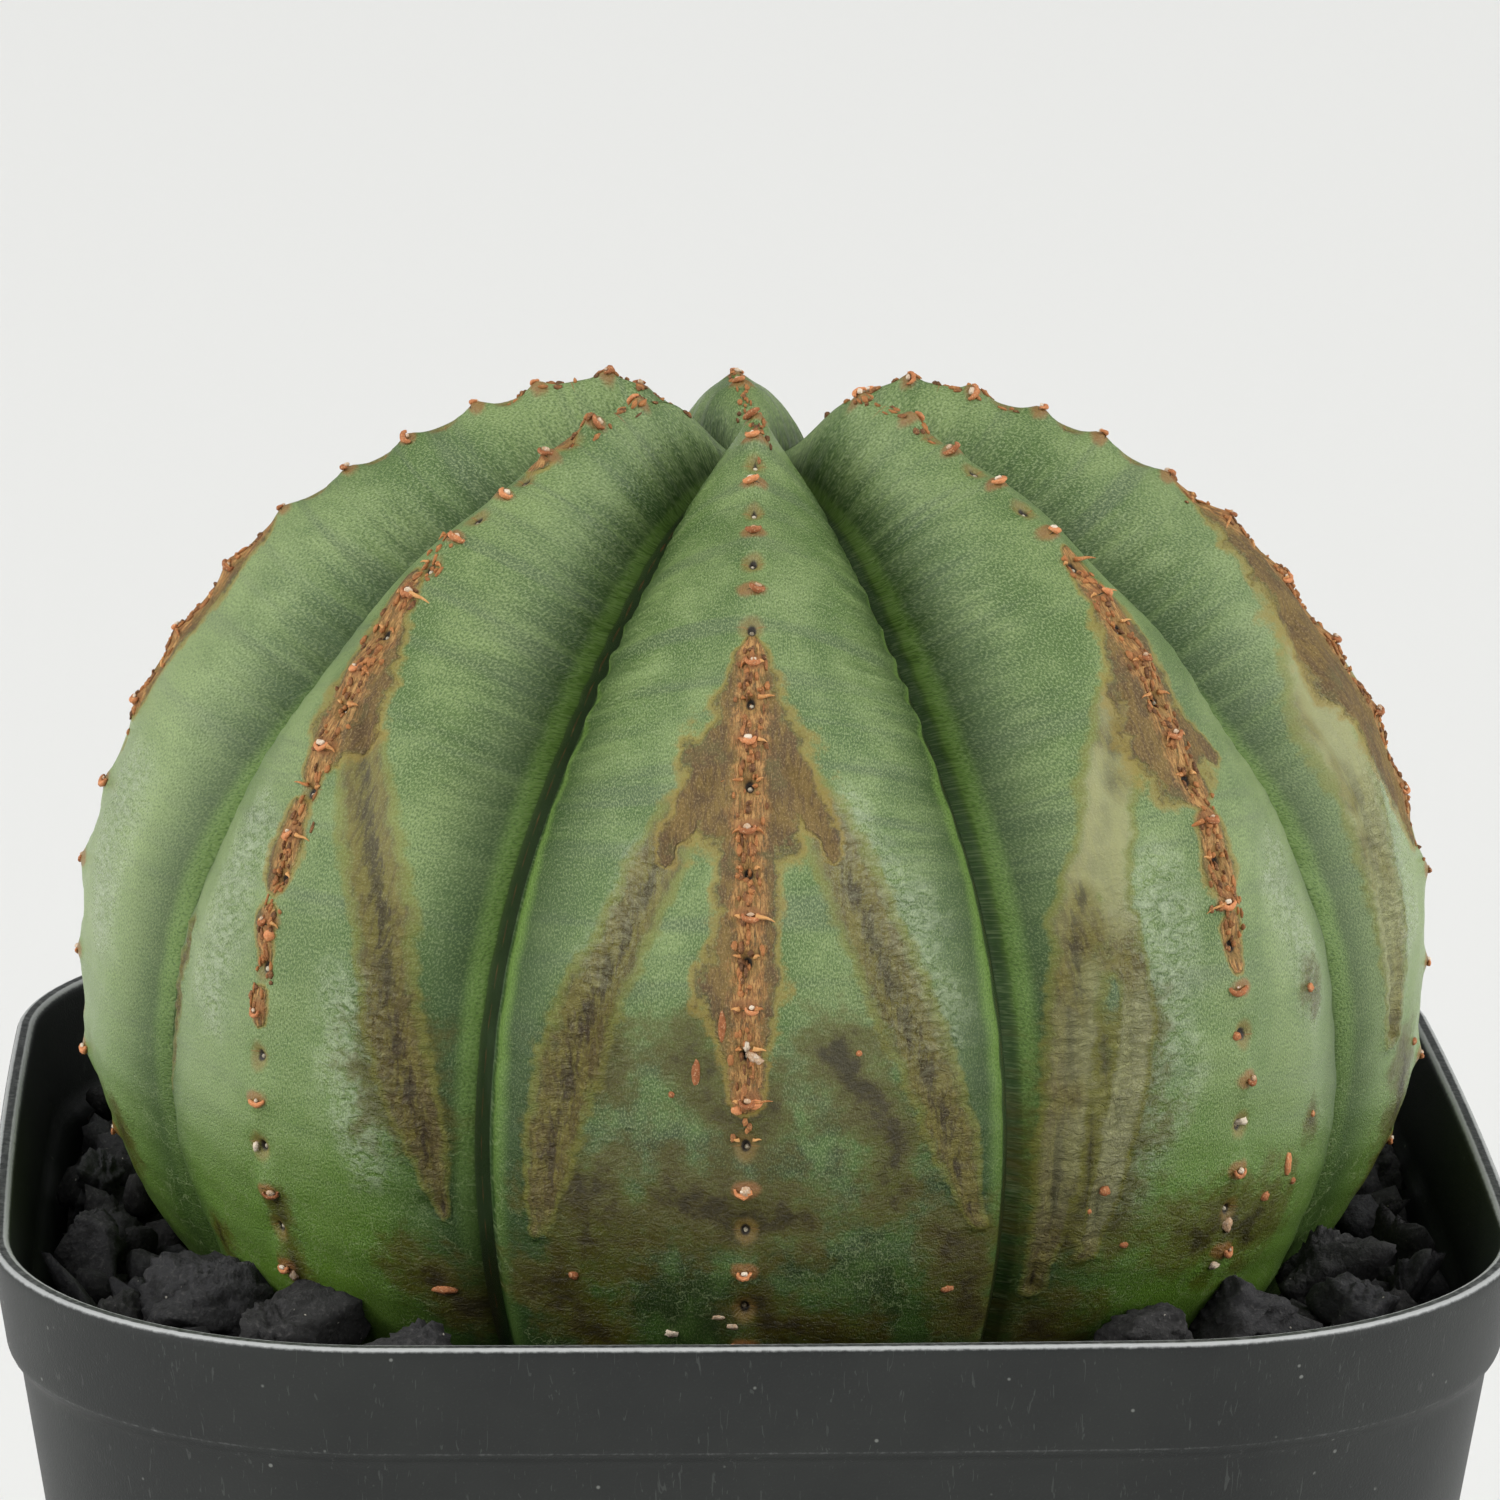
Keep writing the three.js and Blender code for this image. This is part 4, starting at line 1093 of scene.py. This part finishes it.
# %% Pot finish
def pot_finish():
    """Dark satin plastic: a fine moulded grain, white dust, short scratches, a lip scuffed and painted with
    highlights on its edges, and a painted highlight along the band's step.
    """
    coat = Finish("nursery_plastic")
    spot = coat.place()
    grain = coat.noise(spot, 7.0, 3.0, 0.6)
    cloud = coat.noise(spot, 0.09, 3.0, 0.6)
    dust = coat.cells(spot, 0.55)
    dust_size = coat.noise(spot, 0.9, 1.0)
    scratch = coat.noise(coat.place((3.0, 3.0, 0.22)), 1.0, 2.0, 0.5, 1.6)
    scuff = coat.noise(spot, 2.4, 4.0, 0.7)
    wear_and_highlight = coat.stored("wear_and_highlight")
    speckle = (1 - dust.step(0.04, 0.09)) * dust_size.step(0.48, 0.58)
    # scuffing and painted highlights on the lip and the band's step
    worn_and_highlit = (wear_and_highlight * (0.55 + scuff * 0.9)).step(0.35, 0.85)
    colour = coat.layers((25, 28, 27), [
        ((33, 36, 34), cloud.step(0.35, 0.7)),
        ((58, 61, 58), grain.step(0.55, 0.75) * 0.3),
        ((146, 148, 142), speckle * 0.6),
        ((118, 121, 117), scratch.step(0.66, 0.70) * 0.16),
        # scuffed and painted-highlit edges of the lip and band
        ((190, 192, 190), worn_and_highlit * 0.8),
    ])
    normal = coat.bump(grain, 0.05, 0.6)
    return coat.surface(Base_Color=colour, Roughness=0.42 + grain * 0.12 - worn_and_highlit * 0.08, Normal=normal,
                        Specular_IOR_Level=0.4)


finish_piece(pot, pot_finish(), "pot_plastic", "pot")

# %% [markdown]
# ## Gravel
#
# Broken dark stone covers the potting mix. Each stone is a ball cut by random planes: its reach in a
# direction is the nearest plane met that way, softened a little, then roughened with a few waves.
# The large stones follow the frame's own stones one for one. Many small ones fill the gaps, with only
# a few dozen faces each.

# %% Stones
def stone_points(directions, lows, highs, chance, sharpness, roughness):
    """Stones that fill boxes. Reach in direction d = (sum of (d.n / h)^s over random planes)^(-1/s),
    times 1 + waves; each stone is then turned at random and stretched to its box."""
    count = len(lows)
    normals = chance.normal(size=(count, 12, 3))
    normals /= np.linalg.norm(normals, axis=-1, keepdims=True)
    heights = chance.uniform(0.55, 1.0, (count, 12))
    facing = np.maximum(np.einsum("vk,cpk->cvp", directions, normals) / heights[:, None, :], 0)
    reach = (facing ** sharpness).sum(-1) ** (-1 / sharpness)
    for size, amount in ((3.1, 0.06), (6.3, 0.045), (12.1, 0.03), (23.0, 0.016)):
        tone = chance.normal(size=(count, 3, 3)) * size
        shift = chance.uniform(0, 6.28, (count, 3))
        wave = np.sin(np.einsum("vk,cwk->cvw", directions, tone) + shift[:, None, :]).prod(-1)
        reach = reach * (1 + roughness * amount * 2.2 * wave)
    shapes = directions[None] * reach[..., None]
    span = shapes.max(1) - shapes.min(1)
    middle = (shapes.max(1) + shapes.min(1)) / 2
    scale = (highs - lows) / span
    return (shapes - middle[:, None]) * scale[:, None] + ((lows + highs) / 2)[:, None]


def make_stones(name, lows, highs, rows, columns, seed, sharpness=22, roughness=1.3):
    """One piece holding a stone for every box, with a chance tone stored for each stone."""
    chance = np.random.default_rng(seed)
    directions, quads, caps = ball(rows, columns)
    shapes = stone_points(directions, lows, highs, chance, sharpness, roughness)
    return gather(name, shapes, quads, caps, chance.uniform(0, 1, len(shapes)))


def grown_boxes(names, growth, lift, heaped):
    """The boxes of the frame's stones in millimetres, made larger about their middles and lifted;
    the heaped ones by their own amounts."""
    corners = np.array([[tuple(c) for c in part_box(n)] for n in names]) / MM
    middle = corners.mean(1)
    half = (corners[:, 1] - corners[:, 0]) / 2 * growth
    middle[:, 2] += [heaped.get(n, lift) for n in names]
    return middle - half, middle + half


STONE_NODES = [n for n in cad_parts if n.startswith("stone_")]
PEBBLE_NODES = [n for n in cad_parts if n.startswith("pebble_")]
HEAPED = {"stone_2": 2.3, "stone_7": 2.6, "stone_8": 1.4, "stone_11": 2.4, "stone_12": 1.9, "stone_13": 2.8}
GROWTH = 1.42                    # the frame's stones stand apart; these are swollen until they touch
large_boxes = grown_boxes(STONE_NODES, GROWTH, 0.9, HEAPED)
small_boxes = grown_boxes(PEBBLE_NODES, GROWTH, 0.6, {})
stones = make_stones("gravel_stones", *large_boxes, 34, 46, 3)
pebbles = make_stones("gravel_pebbles", *small_boxes, 16, 22, 4)

# %% Small gravel between the stones
SOIL_TOP = 72.8
FILL_TRIES = 9000
FILL_REACH = 43.0
CREST_BELOW_RIM = [[-13.4, -9.4, -5.2, -0.6, 4.6], [26, 31.8, 35.6, 38.3, 39.9]]   # heights, radii


def wall_room(x, y, z):
    """Distance from a spot inwards to the pot's inner wall."""
    half = pot_half(z) - WALL
    corner = pot_corner(z) - WALL
    dx = np.maximum(np.abs(x) - (half - corner), 0)
    dy = np.maximum(np.abs(y) - (half - corner), 0)
    return corner - np.hypot(dx, dy)


def fill_boxes(layer_z, sizes, spacing, wanted, chance):
    """Boxes for small stones dropped at random in the ring between the plant and the wall, each
    kept apart from the earlier ones of its layer by spacing times their radii."""
    plant_reach = np.interp(layer_z + 1.5 - RIM_Z, *CREST_BELOW_RIM)
    kept = np.zeros((0, 4))
    for x, y, r, z in zip(chance.uniform(-FILL_REACH, FILL_REACH, FILL_TRIES),
                          chance.uniform(-FILL_REACH, FILL_REACH, FILL_TRIES),
                          chance.uniform(*sizes, FILL_TRIES), layer_z + chance.normal(0, 0.25, FILL_TRIES)):
        if wall_room(x, y, z) < r * 0.9 or math.hypot(x - PLANT_X, y) < plant_reach + r * 0.55:
            continue
        apart = np.hypot(kept[:, 0] - x, kept[:, 1] - y) - spacing * (kept[:, 2] + r)
        if len(kept) and apart.min() < 0:
            continue
        kept = np.vstack([kept, [x, y, r, z]])
        if len(kept) == wanted:
            break
    half = kept[:, 2:3] * chance.uniform(0.75, 1.15, (len(kept), 3))
    middle = kept[:, [0, 1, 3]]
    return middle - half, middle + half


chance = np.random.default_rng(21)
layers = [fill_boxes(SOIL_TOP + 0.6, (1.3, 2.5), 0.72, 420, chance),
          fill_boxes(SOIL_TOP + 2.8, (1.2, 2.3), 0.90, 150, chance)]
lows, highs = (np.vstack(corners) for corners in zip(*layers))
fill = make_stones("gravel_fill", lows, highs, 6, 9, 5, 14, 1.2)


# %% Gravel and potting mix finishes
def gravel_finish():
    """Black stone: brown-black and blue-black by turns, matt, with dusty edges and white grains."""
    coat = Finish("dark_gravel")
    spot = coat.place()
    tone = coat.stored("tone")
    fine = coat.noise(spot, 3.2, 5.0, 0.65)
    coarse = coat.noise(spot, 0.9, 3.0, 0.6)
    grains = coat.cells(spot, 1.3)
    rare = coat.noise(spot, 1.7, 1.0)
    colour = coat.layers((48, 47, 46), [
        ((64, 64, 66), tone),
        ((98, 96, 94), fine.step(0.50, 0.72) * 0.55),
        ((20, 19, 18), (1 - coarse.step(0.34, 0.5)) * 0.6),
        ((196, 190, 176), (1 - grains.step(0.06, 0.12)) * rare.step(0.60, 0.64) * 0.8),
    ])
    normal = coat.bump(coarse, 0.5, 0.7)
    normal = coat.bump(fine, 0.25, 0.8, normal)
    return coat.surface(Base_Color=colour, Roughness=0.78 + fine * 0.15, Normal=normal,
                        Specular_IOR_Level=0.35)


def mix_finish():
    """Potting mix: dark crumbs with a few paler fibres."""
    coat = Finish("potting_mix")
    spot = coat.place()
    crumbs = coat.cells(spot, 0.9)
    fine = coat.noise(spot, 2.2, 5.0, 0.65)
    straw = coat.noise(coat.place((0.5, 2.6, 1.0)), 1.0, 2.0)
    colour = coat.layers((14, 12, 10), [((38, 33, 28), fine.step(0.35, 0.7)),
                                        ((66, 56, 44), straw.step(0.66, 0.72) * 0.5)])
    normal = coat.bump(crumbs + fine * 0.6, 0.9, 0.9)
    return coat.surface(Base_Color=colour, Roughness=0.9, Normal=normal)


gravel = gravel_finish()
finish_piece(stones, gravel, "gravel", *STONE_NODES)
finish_piece(pebbles, gravel, "gravel", *PEBBLE_NODES)
finish_piece(fill, gravel, "gravel")
potting_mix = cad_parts["potting_mix"]
potting_mix.data.materials.clear()
potting_mix.data.materials.append(mix_finish())

# %% [markdown]
# ## Stage
#
# A pale floor under an even pale sky. Two broad suns stand for big soft windows on the left and right
# and a faint one for the ceiling, and two soft boxes low at the sides give the skin a little sheen.

# %% Floor and lights
FLOOR_HALF = 6000.0
floor_corners = np.array([[-1, -1], [1, -1], [1, 1], [-1, 1]]) * FLOOR_HALF
floor = make_piece("floor", np.column_stack([floor_corners, np.full(4, -0.5)]), np.array([[0, 1, 2, 3]]))
ground = Finish("floor")
floor.data.materials.append(ground.surface(Base_Color=rgb(226, 226, 223), Roughness=0.9))

world = bpy.data.worlds.new("studio")
world.use_nodes = True
sky = world.node_tree.nodes["Background"]
sky.inputs["Color"].default_value = (0.95, 0.97, 1.0, 1)
sky.inputs["Strength"].default_value = 0.22
bpy.context.scene.world = world


def toward(azimuth, elevation):
    """Unit direction from the plant: azimuth 0 is the front, positive to the right."""
    a, e = math.radians(azimuth), math.radians(elevation)
    return Vector((math.sin(a) * math.cos(e), -math.cos(a) * math.cos(e), math.sin(e)))


def add_lamp(light, position, direction):
    """Place a lamp so that it shines back along the direction."""
    lamp = bpy.data.objects.new(light.name, light)
    lamp.location = position
    lamp.rotation_euler = direction.to_track_quat("Z", "Y").to_euler()
    bpy.context.scene.collection.objects.link(lamp)


def soft_sun(name, azimuth, elevation, strength, spread):
    light = bpy.data.lights.new(name, "SUN")
    light.energy = strength
    light.angle = math.radians(spread)
    direction = toward(azimuth, elevation)
    add_lamp(light, direction, direction)


def soft_box(name, azimuth, elevation, distance, width, power):
    """A square lamp facing the plant."""
    light = bpy.data.lights.new(name, "AREA")
    light.size = width * MM
    light.energy = power
    direction = toward(azimuth, elevation)
    add_lamp(light, (TARGET + direction * distance) * MM, direction)


soft_sun("window_left", -73, 31, 2.35, 68)
soft_sun("window_right", 75, 31, 2.30, 68)
soft_sun("ceiling", 0, 72, 0.30, 90)
soft_box("soft_box_left", -64, 20, 900, 220, 1.1)
soft_box("soft_box_right", 64, 20, 900, 220, 1.1)
bpy.context.scene.view_settings.view_transform = "Standard"
